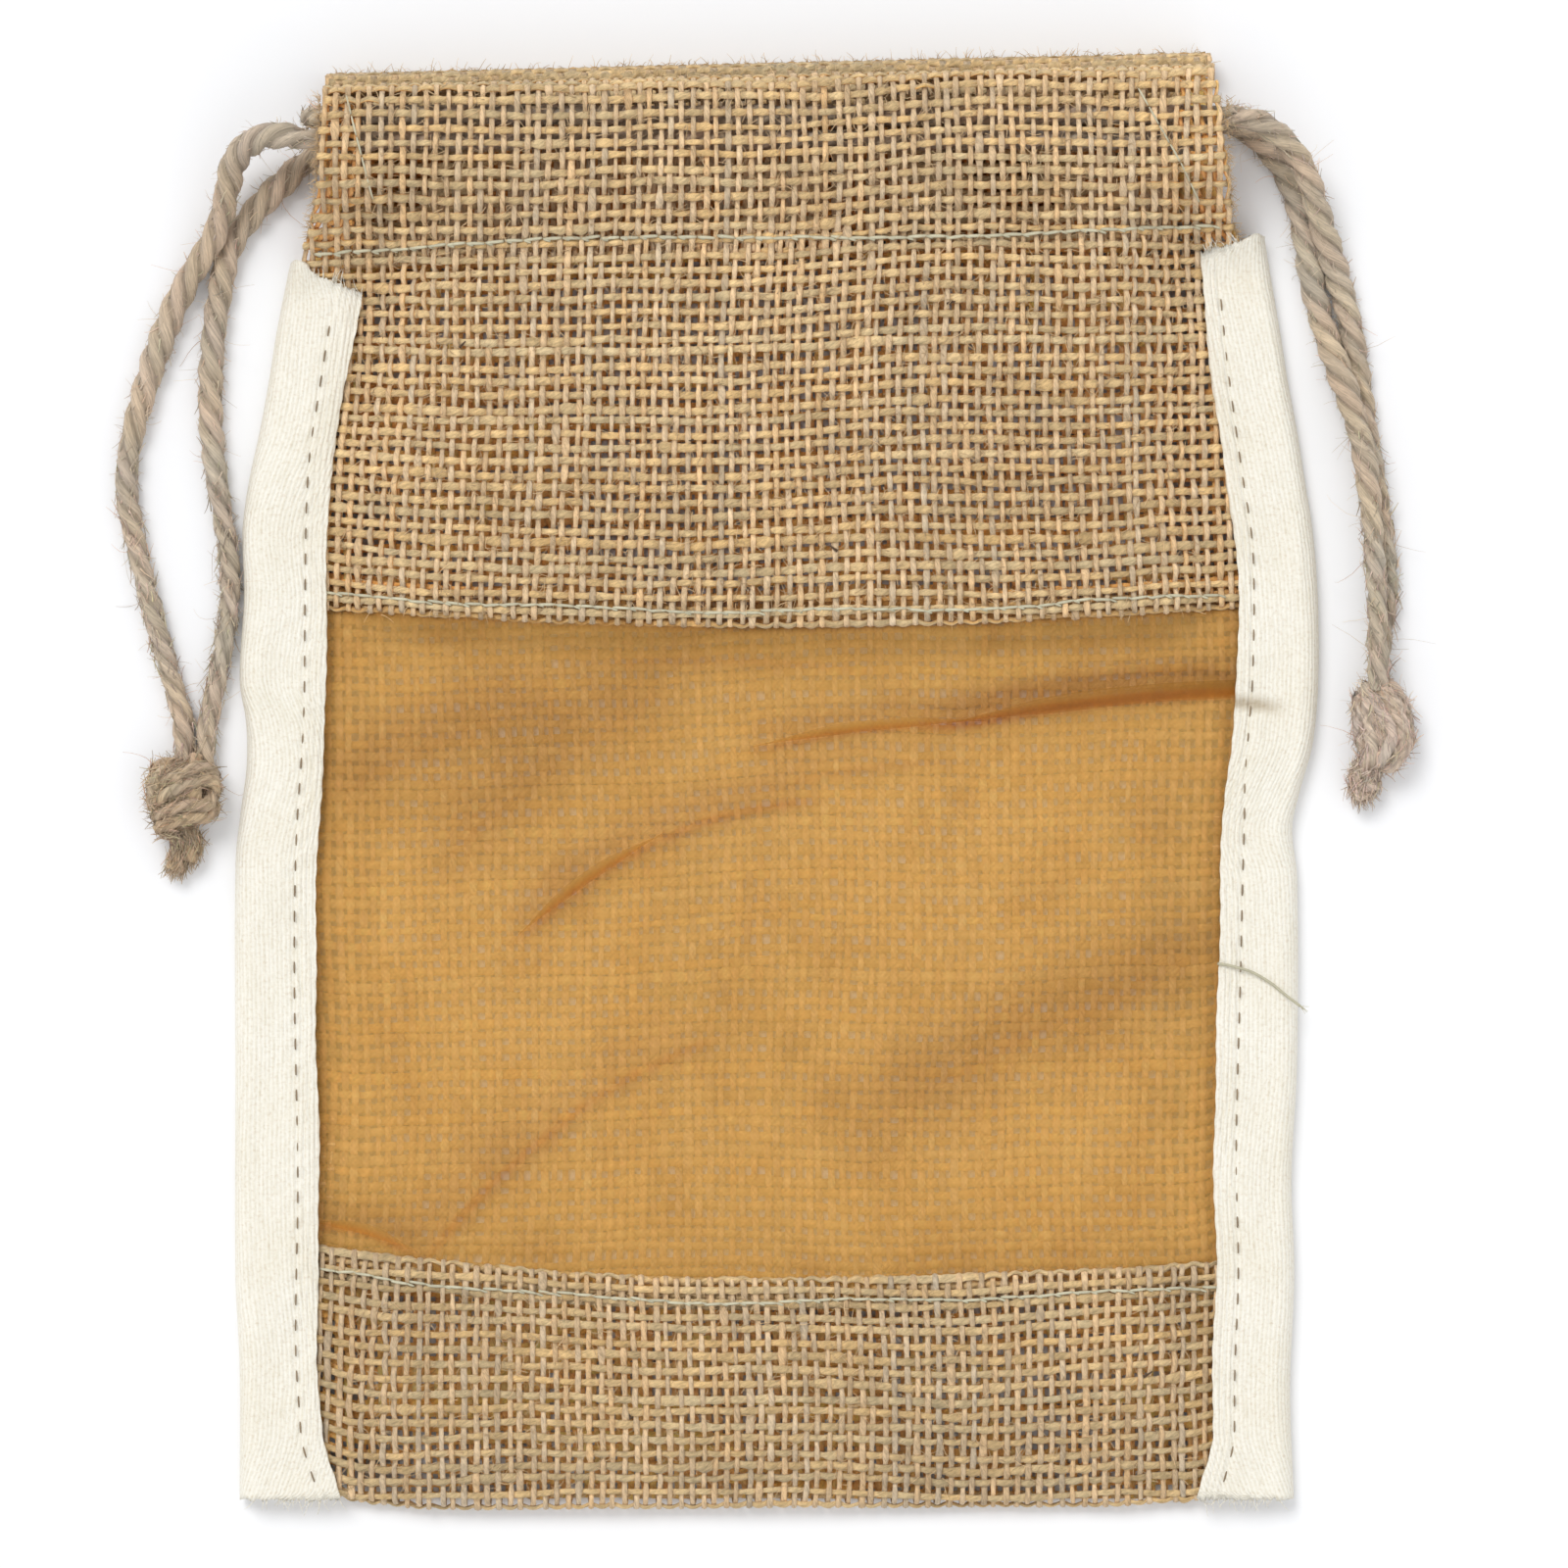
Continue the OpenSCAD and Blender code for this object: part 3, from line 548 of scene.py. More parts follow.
def weave(makers, place, inside, wefts, sides, parts=4, spread=(1.0, 1.0, 1.0), inner=0, crest_shading=0.11):
    """Weaves plain cloth over a surface, into one maker or into a left and a right one.

    spread scales the warps' width, the wefts' width, and the thickness and rise of both. inner is 1 or
    -1 where the upper or the lower face is the pouch's inside. The hems, below 0 along the cloth, are
    all inside. Where inner is given, those inside faces are painted a warmer tone: painted light. The
    last argument is how much lighter a yarn is painted where it lies on top, and how much darker where
    it dips under: painted highlight and shade.
    """
    count_s, count_t = len(WARPS), len(wefts)
    shift_s, shift_t = drift(WARPS[:, None], wefts[None, :])
    s = WARPS[:, None] + shift_s + wander(count_s, count_t, 4, 0.20) + rng.normal(0, 0.11, (count_s, 1))
    t = wefts[None, :] + shift_t + wander(count_t, count_s, 4, 0.24).T + rng.normal(0, 0.13, (1, count_t))
    t[:, 0], t[:, -1] = wefts[0], wefts[-1]
    over = 1.0 - 2.0 * ((np.arange(count_s)[:, None] + np.arange(count_t)[None, :]) % 2)
    above = np.sin(2 * math.pi * (np.arange(sides) + 0.5) / sides) > 0
    for cross, down, first, rise, wide, high, tone in (
            (s, t, over[:, :1], WARP_RISE, WARP_W * spread[0], WARP_H, WARP_TONE),
            (s.T, t.T, -over[:1].T, WEFT_RISE, WEFT_W * spread[1], WEFT_H, WEFT_TONE)):
        rise, high = rise * spread[2], high * spread[2]
        cross, down = between(cross, parts), between(down, parts)
        rows, points = cross.shape
        wave = np.cos(math.pi * np.arange(points) / parts)
        line, up = yarn_paths(place, cross, down, first * rise * np.sign(wave) * np.abs(wave) ** 0.8)
        keep = inside(cross, down)
        thick = 1 + wander(rows, points, 6 * parts, 0.13) + rng.normal(0, 0.07, (rows, 1))
        thick = thick + 0.6 * np.maximum(wander(rows, points, 3 * parts, 1.0) - 0.72, 0) / 0.28
        thick = thick * (0.90 + 0.16 * np.abs(wave)) + wander(rows, points, parts, 0.09)
        tint = 1 + wander(rows, points, 3 * parts, 0.13) + wander(rows, points, 1.2 * parts, 0.08)
        tint = tint + patch(line) + rng.normal(0, 0.05, (rows, 1))
        warm = wander(rows, points, 4 * parts, 0.05) + rng.normal(0, 0.03, (rows, 1))
        # Painted highlight and shade: a yarn is lighter where it lies on top and darker where it dips under.
        tint = tint * (1 + crest_shading * first * wave)
        dye = (JUTE * np.array(tone))[None, None] * tint[..., None]
        dye = dye * np.stack([1 + warm, np.ones_like(warm), 1 - 1.6 * warm], -1)
        for r in range(rows):
            found = np.flatnonzero(keep[r])
            if len(found) < 3:
                continue
            for run in np.split(found, np.flatnonzero(np.diff(found) > 1) + 1):
                if len(run) < 3:
                    continue
                pieces = [(0, run)]
                if len(makers) == 2:
                    left = cross[r, run] < 0
                    if left.all() or not left.any():
                        pieces = [(int(not left.any()), run)]
                    elif rows == count_s:
                        pieces = [(int(left.mean() < 0.5), run)]
                    else:
                        k = int(left.sum())
                        pieces = [(0, run[:k + 1]), (1, run[k:])]
                rings, fibre = sweep(line[r, run], up[r, run], wide * thick[r, run],
                                     high * thick[r, run] ** 0.5, sides, 0.5, 0.9)
                fibre = fibre + rng.uniform(0, 400, 3) * (1, 0.2, 0.2)
                colour = dye[r, run][:, None]
                if inner:
                    # Painted light: the faces turned to the pouch's inside take a warmer tone.
                    deep = smooth((-down[r, run] - 7) / 4)[:, None]
                    through_light_share = np.where(above == (inner > 0), smooth((down[r, run] + 3) / 4)[:, None], deep)
                    colour = colour * mix(1.0, through_light_tone(line[r, run])[:, None], through_light_share[..., None])
                colour = np.broadcast_to(colour, (len(run), sides, 3))
                for which, part in pieces:
                    if len(part) > 1:
                        a, b = part[0] - run[0], part[-1] - run[0] + 1
                        makers[which].tube(rings[a:b], fibre[a:b], colour[a:b])


def weft_places(low, high, packed=0.0):
    """Evenly spaced wefts, with one more in each gap within packed of zero, where the cloth is folded."""
    even = np.linspace(low, high, int((high - low) / WEFT_PITCH) + 1)
    middle = (even[1:] + even[:-1]) / 2
    return np.sort(np.concatenate([even, middle[np.abs(middle) < packed]]))


def cut_size(inside, half, low, high):
    """The width and length in metres of one half of a cut piece, and its area in square metres."""
    reach = 86
    s, t = np.linspace(0, reach, 5 * reach + 1)[:, None], np.linspace(low, high, 401)[None, :]
    kept = inside(half * s + 0 * t, 0 * s + t)
    width = float(s[kept.any(axis=1)].max())
    area = float(kept.mean()) * reach / 1000 * (high - low) / 1000
    return (round(width / 1000, 4), round((high - low) / 1000, 4)), round(area, 6)


# ---------------------------------------------------------------- materials
class Paint:
    """A material's nodes, over the fibre coordinate of its piece, in millimetres, and its dye."""

    def __init__(self, name, roughness, **constants):
        self.material = bpy.data.materials.new(name)
        self.material.use_nodes = True
        self.tree = self.material.node_tree
        self.shader = self.tree.nodes["Principled BSDF"]
        self.shader.inputs["Roughness"].default_value = roughness
        for key, value in constants.items():
            self.shader.inputs[key.replace("_", " ")].default_value = value
        self.where = self.node("ShaderNodeAttribute", attribute_name="fibre").outputs["Vector"]
        self.dye = self.node("ShaderNodeAttribute", attribute_name="dye").outputs["Color"]

    def node(self, kind, **values):
        made = self.tree.nodes.new(kind)
        for key, value in values.items():
            if key in made.inputs:
                made.inputs[key].default_value = value
            else:
                setattr(made, key, value)
        return made

    def link(self, a, b):
        self.tree.links.new(a, b)

    def axes(self):
        split = self.node("ShaderNodeSeparateXYZ")
        self.link(self.where, split.inputs[0])
        return split.outputs[0], split.outputs[1]

    def noise(self, scale, detail=3.0, rough=0.6):
        mapping = self.node("ShaderNodeMapping", Scale=scale)
        self.link(self.where, mapping.inputs["Vector"])
        noise = self.node("ShaderNodeTexNoise", Scale=1.0, Detail=detail, Roughness=rough)
        self.link(mapping.outputs["Vector"], noise.inputs["Vector"])
        return noise.outputs["Fac"]

    def ramp(self, value, stops):
        ramp = self.node("ShaderNodeValToRGB")
        while len(ramp.color_ramp.elements) < len(stops):
            ramp.color_ramp.elements.new(0.5)
        for element, (place, shade) in zip(ramp.color_ramp.elements, stops):
            element.position = place
            element.color = (*(shade if np.ndim(shade) else (shade,) * 3), 1)
        self.link(value, ramp.inputs["Fac"])
        return ramp.outputs["Color"]

    def times(self, first, *others):
        for other in others:
            made = self.node("ShaderNodeMix", data_type="RGBA", blend_type="MULTIPLY")
            made.inputs["Factor"].default_value = 1.0
            self.link(first, made.inputs[6])
            self.link(other, made.inputs[7])
            first = made.outputs[2]
        return first

    def calc(self, operation, *values):
        made = self.node("ShaderNodeMath", operation=operation)
        for socket, value in zip(made.inputs, values):
            if isinstance(value, (int, float)):
                socket.default_value = value
            else:
                self.link(value, socket)
        return made.outputs[0]

    def waves(self, value, length, *shift):
        """A sine of the given length, moved along by shift where that is given."""
        turned = self.calc("MULTIPLY", value, 2 * math.pi / length)
        for amount in shift:
            turned = self.calc("ADD", turned, amount)
        return self.calc("SINE", turned)

    def finish(self, colour, height, depth):
        self.link(colour, self.shader.inputs["Base Color"])
        bump = self.node("ShaderNodeBump", Strength=1.0, Distance=depth)
        self.link(height, bump.inputs["Height"])
        self.link(bump.outputs["Normal"], self.shader.inputs["Normal"])
        return self.material


def fibrous(name, roughness, streak, contrast, depth, sheen):
    """Spun yarn: streaks that run with the fibres, over the colour of each yarn."""
    paint = Paint(name, roughness, Sheen_Weight=sheen, Specular_IOR_Level=0.15)
    coarse = paint.noise(streak)
    fine = paint.noise(tuple(3.1 * v for v in streak), 2.0, 0.7)
    low, high = contrast
    tone = paint.ramp(coarse, [(0.28, low), (0.5, 1.0), (0.72, high)])
    flecks = paint.ramp(fine, [(0.3, 0.80), (0.55, 1.0), (0.75, 1.10)])
    colour = paint.times(paint.dye, tone, flecks)
    return paint.finish(colour, paint.calc("ADD", coarse, paint.calc("MULTIPLY", fine, 0.5)), depth)


def cotton_material():
    """Twill tape: fine ribs and slanted rows of specks, over cotton with slubs and a little soil."""
    paint = Paint("cotton_twill", 0.85, Sheen_Weight=0.12, Specular_IOR_Level=0.2)
    across, along = paint.axes()
    wobble = paint.calc("MULTIPLY", paint.noise((0.5, 0.30, 1)), 5.0)
    ribs = paint.waves(across, 0.62, wobble)
    grain = paint.noise((2.4, 1.6, 1), 3.0, 0.8)
    level = paint.calc("ADD", paint.calc("MULTIPLY", ribs, 0.20), grain)
    tone = paint.ramp(level, [(0.22, (0.89, 0.87, 0.82)), (0.42, (0.965, 0.955, 0.935)), (0.62, 1.0),
                              (0.9, 1.02)])
    rows = paint.waves(across, 1.05, wobble)
    slant = paint.waves(along, 1.30, paint.calc("MULTIPLY", across, 3.0), wobble)
    pits = paint.calc("MULTIPLY", paint.calc("MULTIPLY", rows, slant), 0.07)
    specks = paint.calc("ADD", paint.noise((1.5, 2.3, 1), 2.0, 0.6), pits)
    dots = paint.ramp(specks, [(0.28, (0.90, 0.86, 0.82)), (0.42, (0.975, 0.965, 0.95)), (0.52, 1.0)])
    soil = paint.ramp(paint.noise((0.10, 0.07, 1), 4.0), [(0.3, (0.95, 0.935, 0.90)), (0.6, 1.0)])
    slub = paint.ramp(paint.noise((2.4, 0.22, 1)), [(0.3, (0.93, 0.915, 0.88)), (0.5, 1.0), (0.8, 1.02)])
    return paint.finish(paint.times(paint.dye, paint.times(tone, dots), soil, slub), level, 0.00016)


def organza_material():
    """Sheer cloth: a fine grid of threads that lets the weave behind it show through."""
    paint = Paint("sheer_gold", 0.55, Sheen_Weight=0.25, Specular_IOR_Level=0.3, Alpha=0.35)
    across, along = paint.axes()
    grid = paint.calc("MULTIPLY", paint.waves(across, 0.8), paint.waves(along, 0.96))
    grid = paint.calc("ADD", paint.calc("MULTIPLY", grid, 0.5), 0.5)
    tone = paint.ramp(grid, [(0.0, (0.88, 0.85, 0.78)), (0.5, 0.97), (1.0, (1.05, 1.05, 1.04))])
    blotch = paint.ramp(paint.noise((0.09, 0.07, 1), 5.0),
                        [(0.3, (0.89, 0.84, 0.74)), (0.5, 1.0), (0.72, (1.06, 1.09, 1.20))])
    streak = paint.ramp(paint.noise((1.4, 0.12, 1)), [(0.3, 0.92), (0.7, 1.06)])
    return paint.finish(paint.times(paint.dye, tone, blotch, streak), grid, 0.00006)


# ---------------------------------------------------------------- cords
def spline(route, step):
    """Points about one step apart on the smooth curve that the CAD model's cord follows."""
    p = np.asarray(route, float)
    found = []
    for i in range(len(p) - 1):
        a, b, c, d = p[max(i - 1, 0)], p[i], p[i + 1], p[min(i + 2, len(p) - 1)]
        count = max(1, int(round(np.linalg.norm(c - b) / step)))
        t = (np.arange(count) / count)[:, None]
        found.append(0.5 * (2 * b + (c - a) * t + (2 * a - 5 * b + 4 * c - d) * t ** 2
                            + (3 * b - a - 3 * c + d) * t ** 3))
    return np.concatenate(found + [p[-1:]])


PLY_OUT, PLY_R, PLIES, CORD_SIDES = 0.70, 0.82, 3, 24
FLOOR_GAP = 0.04


def twisted(maker, line, up, colour, lay, start, ends, scale=1.0, loose=0.25):
    """A cord of three plies that turn about its line. ends widens each ring; loose softens the grooves and
    their painted shade.
    """
    across, top = axes_of(line, up)
    run = run_of(line)
    turn = 2 * math.pi * run / lay + start + wander(1, len(line), 20, 0.5)[0]
    angle = 2 * math.pi * np.arange(CORD_SIDES) / CORD_SIDES
    third = 2 * math.pi / PLIES
    lobe = (angle + third / 2) % third - third / 2
    radius = PLY_OUT * np.cos(lobe) + np.sqrt(PLY_R ** 2 - (PLY_OUT * np.sin(lobe)) ** 2)
    groove = ((radius - radius.min()) / np.ptp(radius))[None, :, None]
    radius = mix(radius, 0.94 * radius.max(), loose)
    size = scale * (1 + wander(1, len(line), 14, 0.08)[0]) * ends
    rough = 1 + wander(CORD_SIDES, len(line), 3, 0.05).T
    around = turn[:, None] + angle
    reach = size[:, None] * radius * rough
    rings = (line[:, None] + across[:, None] * (reach * np.cos(around))[..., None]
             + top[:, None] * (reach * np.sin(around))[..., None])
    rings[..., 2] = np.maximum(rings[..., 2], FLOOR_GAP)
    # Painted shade: the colour is darker in the grooves between the plies than on their crowns.
    deep = 0.50 * (1 - 0.6 * loose)
    tint = (1.05 - deep + deep * groove) * (1 + wander(1, len(line), 10, 0.09)[0])[:, None, None]
    ply = ((angle + third / 2) // third).astype(int) % PLIES
    hue = rng.normal(1, 0.04, (PLIES, 1)) + rng.normal(0, 0.012, (PLIES, 3))
    warm = wander(1, len(line), 16, 0.06)[0][:, None, None]
    dye = colour * tint * hue[ply] * np.concatenate([1 + warm, np.ones_like(warm), 1 - warm], 2)
    fibre = np.stack([np.broadcast_to(run[:, None], reach.shape), reach * np.cos(angle) * 1.3,
                      reach * np.sin(angle) * 1.3], -1)
    maker.tube(rings, fibre + rng.uniform(0, 300, 3) * (1, 0.1, 0.1), dye)


def hair(maker, start, direction, length, radius, colour, curl=0.5, floor=0.16, steps=7):
    """One stray fibre: a thin tapered tube on a wandering line that stays above the floor."""
    heading = unit(np.asarray(direction, float))
    line = [np.asarray(start, float)]
    bend = rng.normal(0, curl, 3)
    for _ in range(steps):
        heading = unit(heading + bend / steps + rng.normal(0, 0.10, 3))
        line.append(line[-1] + heading * length / steps)
    line = np.array(line)
    line[:, 2] = np.maximum(line[:, 2], floor)
    taper = radius * np.linspace(1, 0.35, len(line))
    side = np.array((0.31, 0.22, 0.93))
    rings, fibre = sweep(line, side, taper, taper, 4)
    maker.tube(rings, fibre, colour)


def places_round(line, count):
    """Random places on a line: the point, the direction of the line there, and one away from it."""
    along = along_of(line)
    for i in rng.integers(2, len(line) - 2, count):
        yield line[i], along[i], unit(np.cross(along[i], rng.normal(0, 1, 3)))


def cord_hairs(maker, line, count, colour):
    """Stray fibres of the twine along a cord's line: most are short and fine, and a few are long."""
    for point, along, out in places_round(line, count):
        out[2] = abs(out[2]) * 0.6 if point[2] < 4 else out[2]
        lean = out + along * rng.uniform(-1.8, 1.8)
        length = rng.choice((1.6, 2.8, 6.5), p=(0.70, 0.26, 0.04)) * rng.uniform(0.6, 1.3)
        reddish = rng.random() < 0.2
        tint = colour * rng.uniform(0.75, 1.4) * (np.array((1.0, 0.72, 0.62)) if reddish else 1.0)
        hair(maker, point + out * 1.15, lean, length, rng.uniform(0.028, 0.05), tint, 2.4, steps=5)


def nap(maker, line, radius, count, colour):
    """Loosened fibres that lie along a strand, which blur its plies."""
    for point, along, out in places_round(line, count):
        side = np.cross(along, out)
        lean = along * rng.choice((-1.0, 1.0)) + side * rng.normal(0.35, 0.3)
        lean = lean + out * rng.uniform(0.0, 0.10)
        tint = colour * rng.uniform(0.62, 1.42) * (1 + rng.normal(0, 0.05, 3))
        start = point + out * radius * rng.uniform(0.90, 1.03)
        start[2] = max(start[2], 0.3)
        hair(maker, start, lean, rng.uniform(1.2, 2.8), rng.uniform(0.06, 0.12), tint, 0.35, steps=3)


def frayed_end(maker, tip, direction, count, spread, reach, colour):
    """The opened fibres of a cut end."""
    heading = unit(np.asarray(direction, float))
    for _ in range(count):
        off = rng.normal(0, 0.62, 3) * (1, 1, 0.6)
        lean = heading + rng.normal(0, spread, 3) * (1, 1, 0.5)
        tint = colour * rng.uniform(0.75, 1.25)
        hair(maker, tip + off - heading * rng.uniform(0.4, 2.0), lean, reach * rng.uniform(0.4, 1.1),
             rng.uniform(0.05, 0.11), tint, 0.5)


STRAND_R, LANE = 1.04, 0.84
CORD_HAIRS = 1300
LEFT_TIE = [(1.2, 5.2, -1.1), (0.8, 3.4, -0.2), (-1.4, 3.9, 0.5), (-3.4, 3.1, 0.7), (-4.2, 1.0, 0.3),
            (-3.6, -1.2, -0.4), (-1.4, -2.3, -1.4), (1.8, -1.8, -1.5), (3.9, 0.3, -1.0), (4.2, 2.5, 0.2),
            (2.4, 2.9, 1.6), (-0.5, 1.7, 2.1), (-2.9, 0.6, 1.3), (-3.9, -0.8, 0.0), (-2.2, -1.6, -1.3),
            (1.6, -0.8, -1.4), (4.0, -0.9, -0.3), (3.3, -2.4, 1.1), (0.7, -2.6, 1.9), (-2.0, -3.2, 1.6),
            (-3.7, -3.7, 0.4), (-2.3, -4.2, -0.9), (-0.2, -5.0, -0.9), (0.3, -7.6, -1.4), (-0.6, -10.4, -1.7)]
RIGHT_TIE = [(-0.3, 6.2, 0.0), (1.2, 5.0, 0.9), (2.7, 2.6, 1.0), (3.4, -0.4, 0.6), (3.0, -3.4, 0.3),
             (1.4, -5.0, -0.4), (-0.6, -4.0, -1.3), (-1.7, -0.6, -1.5), (-1.9, 2.8, -1.0), (-1.9, 4.8, 0.3),
             (-0.8, 4.6, 1.5), (0.5, 2.9, 2.1), (1.6, 0.4, 2.2), (2.0, -2.4, 1.8), (1.1, -4.7, 1.0),
             (-0.2, -5.2, -0.3), (-1.4, -3.0, -1.1), (-2.1, 0.4, -1.1), (-2.5, 3.4, -0.3), (-2.5, 4.6, 0.6),
             (-2.5, 2.2, 1.2), (-2.4, -0.4, 1.3), (-1.9, -3.0, 1.0), (-1.7, -5.6, 0.3), (-2.0, -8.0, -0.7),
             (-1.8, -10.2, -1.2)]


def tie_knot(maker, hairs, centre, tie, colour):
    """A drawn-up overhand knot: both strands lie side by side along one path about its middle."""
    path = spline(tie, 0.4)
    path = path + np.stack([wander(1, len(path), 9, 0.22)[0] for _ in range(3)], 1)
    along = along_of(path)
    outward = unit(path * (0.45, 0.12, 1.0) + (0, 0, 0.02))
    lane = unit(np.cross(along, outward))
    tail = smooth((np.arange(len(path)) - len(path) + 24) / 14)
    lane = unit(mix(lane, np.array((1.0, 0.1, 0.0)), tail[:, None]))
    # Turning the lanes smoothly keeps the strands from crossing each other sharply.
    for _ in range(12):
        lane[1:-1] = (lane[:-2] + 2 * lane[1:-1] + lane[2:]) / 4
    lane = unit(lane)
    for k in (-1, 1):
        line = path + centre + lane * k * (LANE - 0.10 * tail[:, None])
        line[:, 2] = np.maximum(line[:, 2], 1.25)
        # One strand is cut a little shorter than the other.
        line = line[:len(line) - (0 if k < 0 else 3)]
        to_end = np.arange(len(line)) - len(line)
        ends = 1 + 0.22 * smooth((to_end + 22) / 12) + 0.22 * smooth((to_end + 8) / 7)
        twisted(maker, line, (0.21, 0.13, 1.0), colour, 8.0, 0.7 * k, ends, STRAND_R / (CORD_D / 2), 0.62)
        frayed_end(hairs, line[-1], line[-1] - line[-6], 170, 0.20, 1.9, colour)
        nap(hairs, line, STRAND_R, 620, colour)
        nap(hairs, line[-18:], STRAND_R * 1.4, 220, colour)
        cord_hairs(hairs, line, 90, colour)
    # The parts of the strands inside the knot, pressed into one mass.
    for ends in ([(0.2, 3.6, 0), (0, 1.5, 0.1), (0, -1.0, 0.1), (0, -3.4, -0.2)],
                 [(-1.9, 0.2, 0), (-0.5, 0.5, 0.1), (1.2, 0.6, 0.3), (2.7, 0.7, 0.3)]):
        core = spline(np.array(ends) + centre, 0.5)
        twisted(maker, core, (0.2, 0.1, 1.0), colour, 12.0, 0.3, 1.0, 1.55, 0.9)
        nap(hairs, core, 2.3, 160, colour)


twine = fibrous("jute_twine", 0.92, (0.30, 2.6, 2.6), (0.66, 1.24), 0.00026, 0.25)


def make_cord(name, route, lay_start, centre, tie, tone):
    """One drawstring: its cord, its knot and its loose fibres."""
    body = f"drawstring_{name}"
    line = spline(route, 0.55)
    maker, knot, hairs = Maker(), Maker(), Maker()
    # The lay has opened where the cord leaves the casing.
    open_lay = 1 + 0.26 * smooth((np.abs(line[:, 0]) - 65) / 4) * smooth((line[:, 1] - 28) / 30)
    twisted(maker, line, (0.013, 0.017, 1.0), TWINE, 12.5, lay_start, open_lay)
    tie_knot(knot, hairs, np.array(centre), tie, TWINE * tone)
    free = line[np.abs(line[:, 0]) > 61]
    splits = np.flatnonzero(np.linalg.norm(np.diff(free, axis=0), axis=1) > 3) + 1
    for part in np.split(free, splits):
        if len(part) > 8:
            share = len(part) / len(free)
            cord_hairs(hairs, part, int(0.7 * CORD_HAIRS * share), TWINE)
            nap(hairs, part, CORD_D / 2, int(CORD_HAIRS * share), TWINE)
    cord = make_object(f"cord_{name}", maker, twine, "jute_twine")
    tied = make_object(f"cord_knot_{name}", knot, twine, "jute_twine")
    fluff = make_object(f"cord_hairs_{name}", hairs, twine, "jute_twine")
    for piece in (cord, tied, fluff):
        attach(piece, body)
    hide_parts(body)
    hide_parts(f"knot_{name}")
    length = float(run_of(line)[-1]) / 1000


# ---------------------------------------------------------------- bindings
TAPE_LOW, TAPE_STITCH = -POUCH_L / 2 + 1.2, 3.6


def tape_top_y(side, x):
    return 72.3 - 0.38 * (x + 68) if side < 0 else 74 + 0.25 * (x - 59.6)


def under_tape(x, y):
    """The height of the underside of a binding's own upper layer."""
    return front_z(x, y) + CLOTH + TAPE_GAP + 0.15


def crease(x, y):
    """The nip across the right binding, where the window's fold runs into it."""
    nip = np.exp(-((y - 10.6 + 0.10 * (x - 66)) / 1.0) ** 2) * (1 - smooth((x - 68.0) / 5.5))
    lump = np.exp(-((y - 8.6) / 1.6) ** 2) * (1 - smooth((x - 67.5) / 3.0))
    return (-0.55 * nip + 0.18 * lump) * (np.asarray(x) > 0)


def tape_sheet(side, inset, rows=300):
    """Grid over one binding: up the underside from the inner edge, round the fold, and back."""
    v = np.linspace(0, 1, rows)[:, None]
    y_out = mix(TAPE_LOW, tape_top_y(side, side * 70.0), v)
    x_out, x_in = outer(side * np.ones_like(y_out), y_out), inner(side * np.ones_like(y_out), y_out)
    high = under_tape(side * (x_out - FOLD_CLEAR), y_out) + TAPE_T
    r = high / 2
    leg = np.linspace(0, 1, 14)[None, :-1]
    x1 = mix(x_in, x_out - r, leg)
    y1 = mix(TAPE_LOW, tape_top_y(side, side * x1), v)
    under = np.stack([x1, y1, np.broadcast_to(inset, x1.shape)], -1)
    a = np.radians(np.linspace(-90, 90, 15))[None, :]
    x2 = x_out - r + (r - inset) * np.cos(a)
    turn = np.stack([x2, np.broadcast_to(y_out, x2.shape), r + (r - inset) * np.sin(a)], -1)
    leg = np.linspace(1, 0, 66)[None, 1:]
    scallop = 0.06 * np.sin(2 * math.pi * y_out / TAPE_STITCH) + 0.12 * np.sin(y_out / 3.7 + side)
    x3 = mix(x_in + scallop, x_out - r, leg)
    y3 = mix(TAPE_LOW, tape_top_y(side, side * x3), v)
    top = under_tape(side * x3, y3) + TAPE_T - inset
    sheet = np.concatenate([under, turn, np.stack([x3, y3, top], -1)], 1)
    first = under.shape[1] + turn.shape[1]
    for _ in range(14):
        near = sheet[:, first - 9:first + 13]
        sheet[:, first - 8:first + 12] = (near[:, :-2] + 2 * near[:, 1:-1] + near[:, 2:]) / 4
    return sheet, first


def stitch_inset(side, y):
    """How far a binding's stitches lie from its inner edge."""
    return 3.0 if side < 0 else 2.2 + 0.9 * smooth((10 - y) / 18)


def tape_relief(side, sheet, first):
    """Selvage cords beside the inner edge, puckers at the stitches and a soft hand-made surface."""
    x, y = sheet[:, first:, 0], sheet[:, first:, 1]
    gap = x - inner(side * x, y)
    fade = 1 - smooth((gap - 8.5) / 1.5)
    cords = 0.11 * np.cos(2 * math.pi * gap / 0.78) * (1 - smooth((gap - 2.3) / 0.5))
    lip = -0.30 * (1 - smooth((gap + 0.2) / 0.7))
    at = stitch_inset(side, y)
    seam = -0.22 * np.exp(-((gap - at) / 0.42) ** 2) * (0.75 + 0.25 * np.cos(2 * math.pi * y / TAPE_STITCH))
    puff = 0.16 * np.sin(y / 3.1 + side) * np.sin(gap / 2.4) + 0.12 * np.sin(y / 8.7 + gap / 2.0)
    pucker = 0.08 * np.sin(2 * math.pi * y / TAPE_STITCH + gap) * np.exp(-((gap - at) / 1.8) ** 2)
    calm = smooth((sheet[:, :1, 1] + 101) / 3)
    out = sheet.copy()
    out[:, first:, 2] += fade * (cords + lip + seam + (puff + pucker) * calm) + crease(side * x, y)
    return out


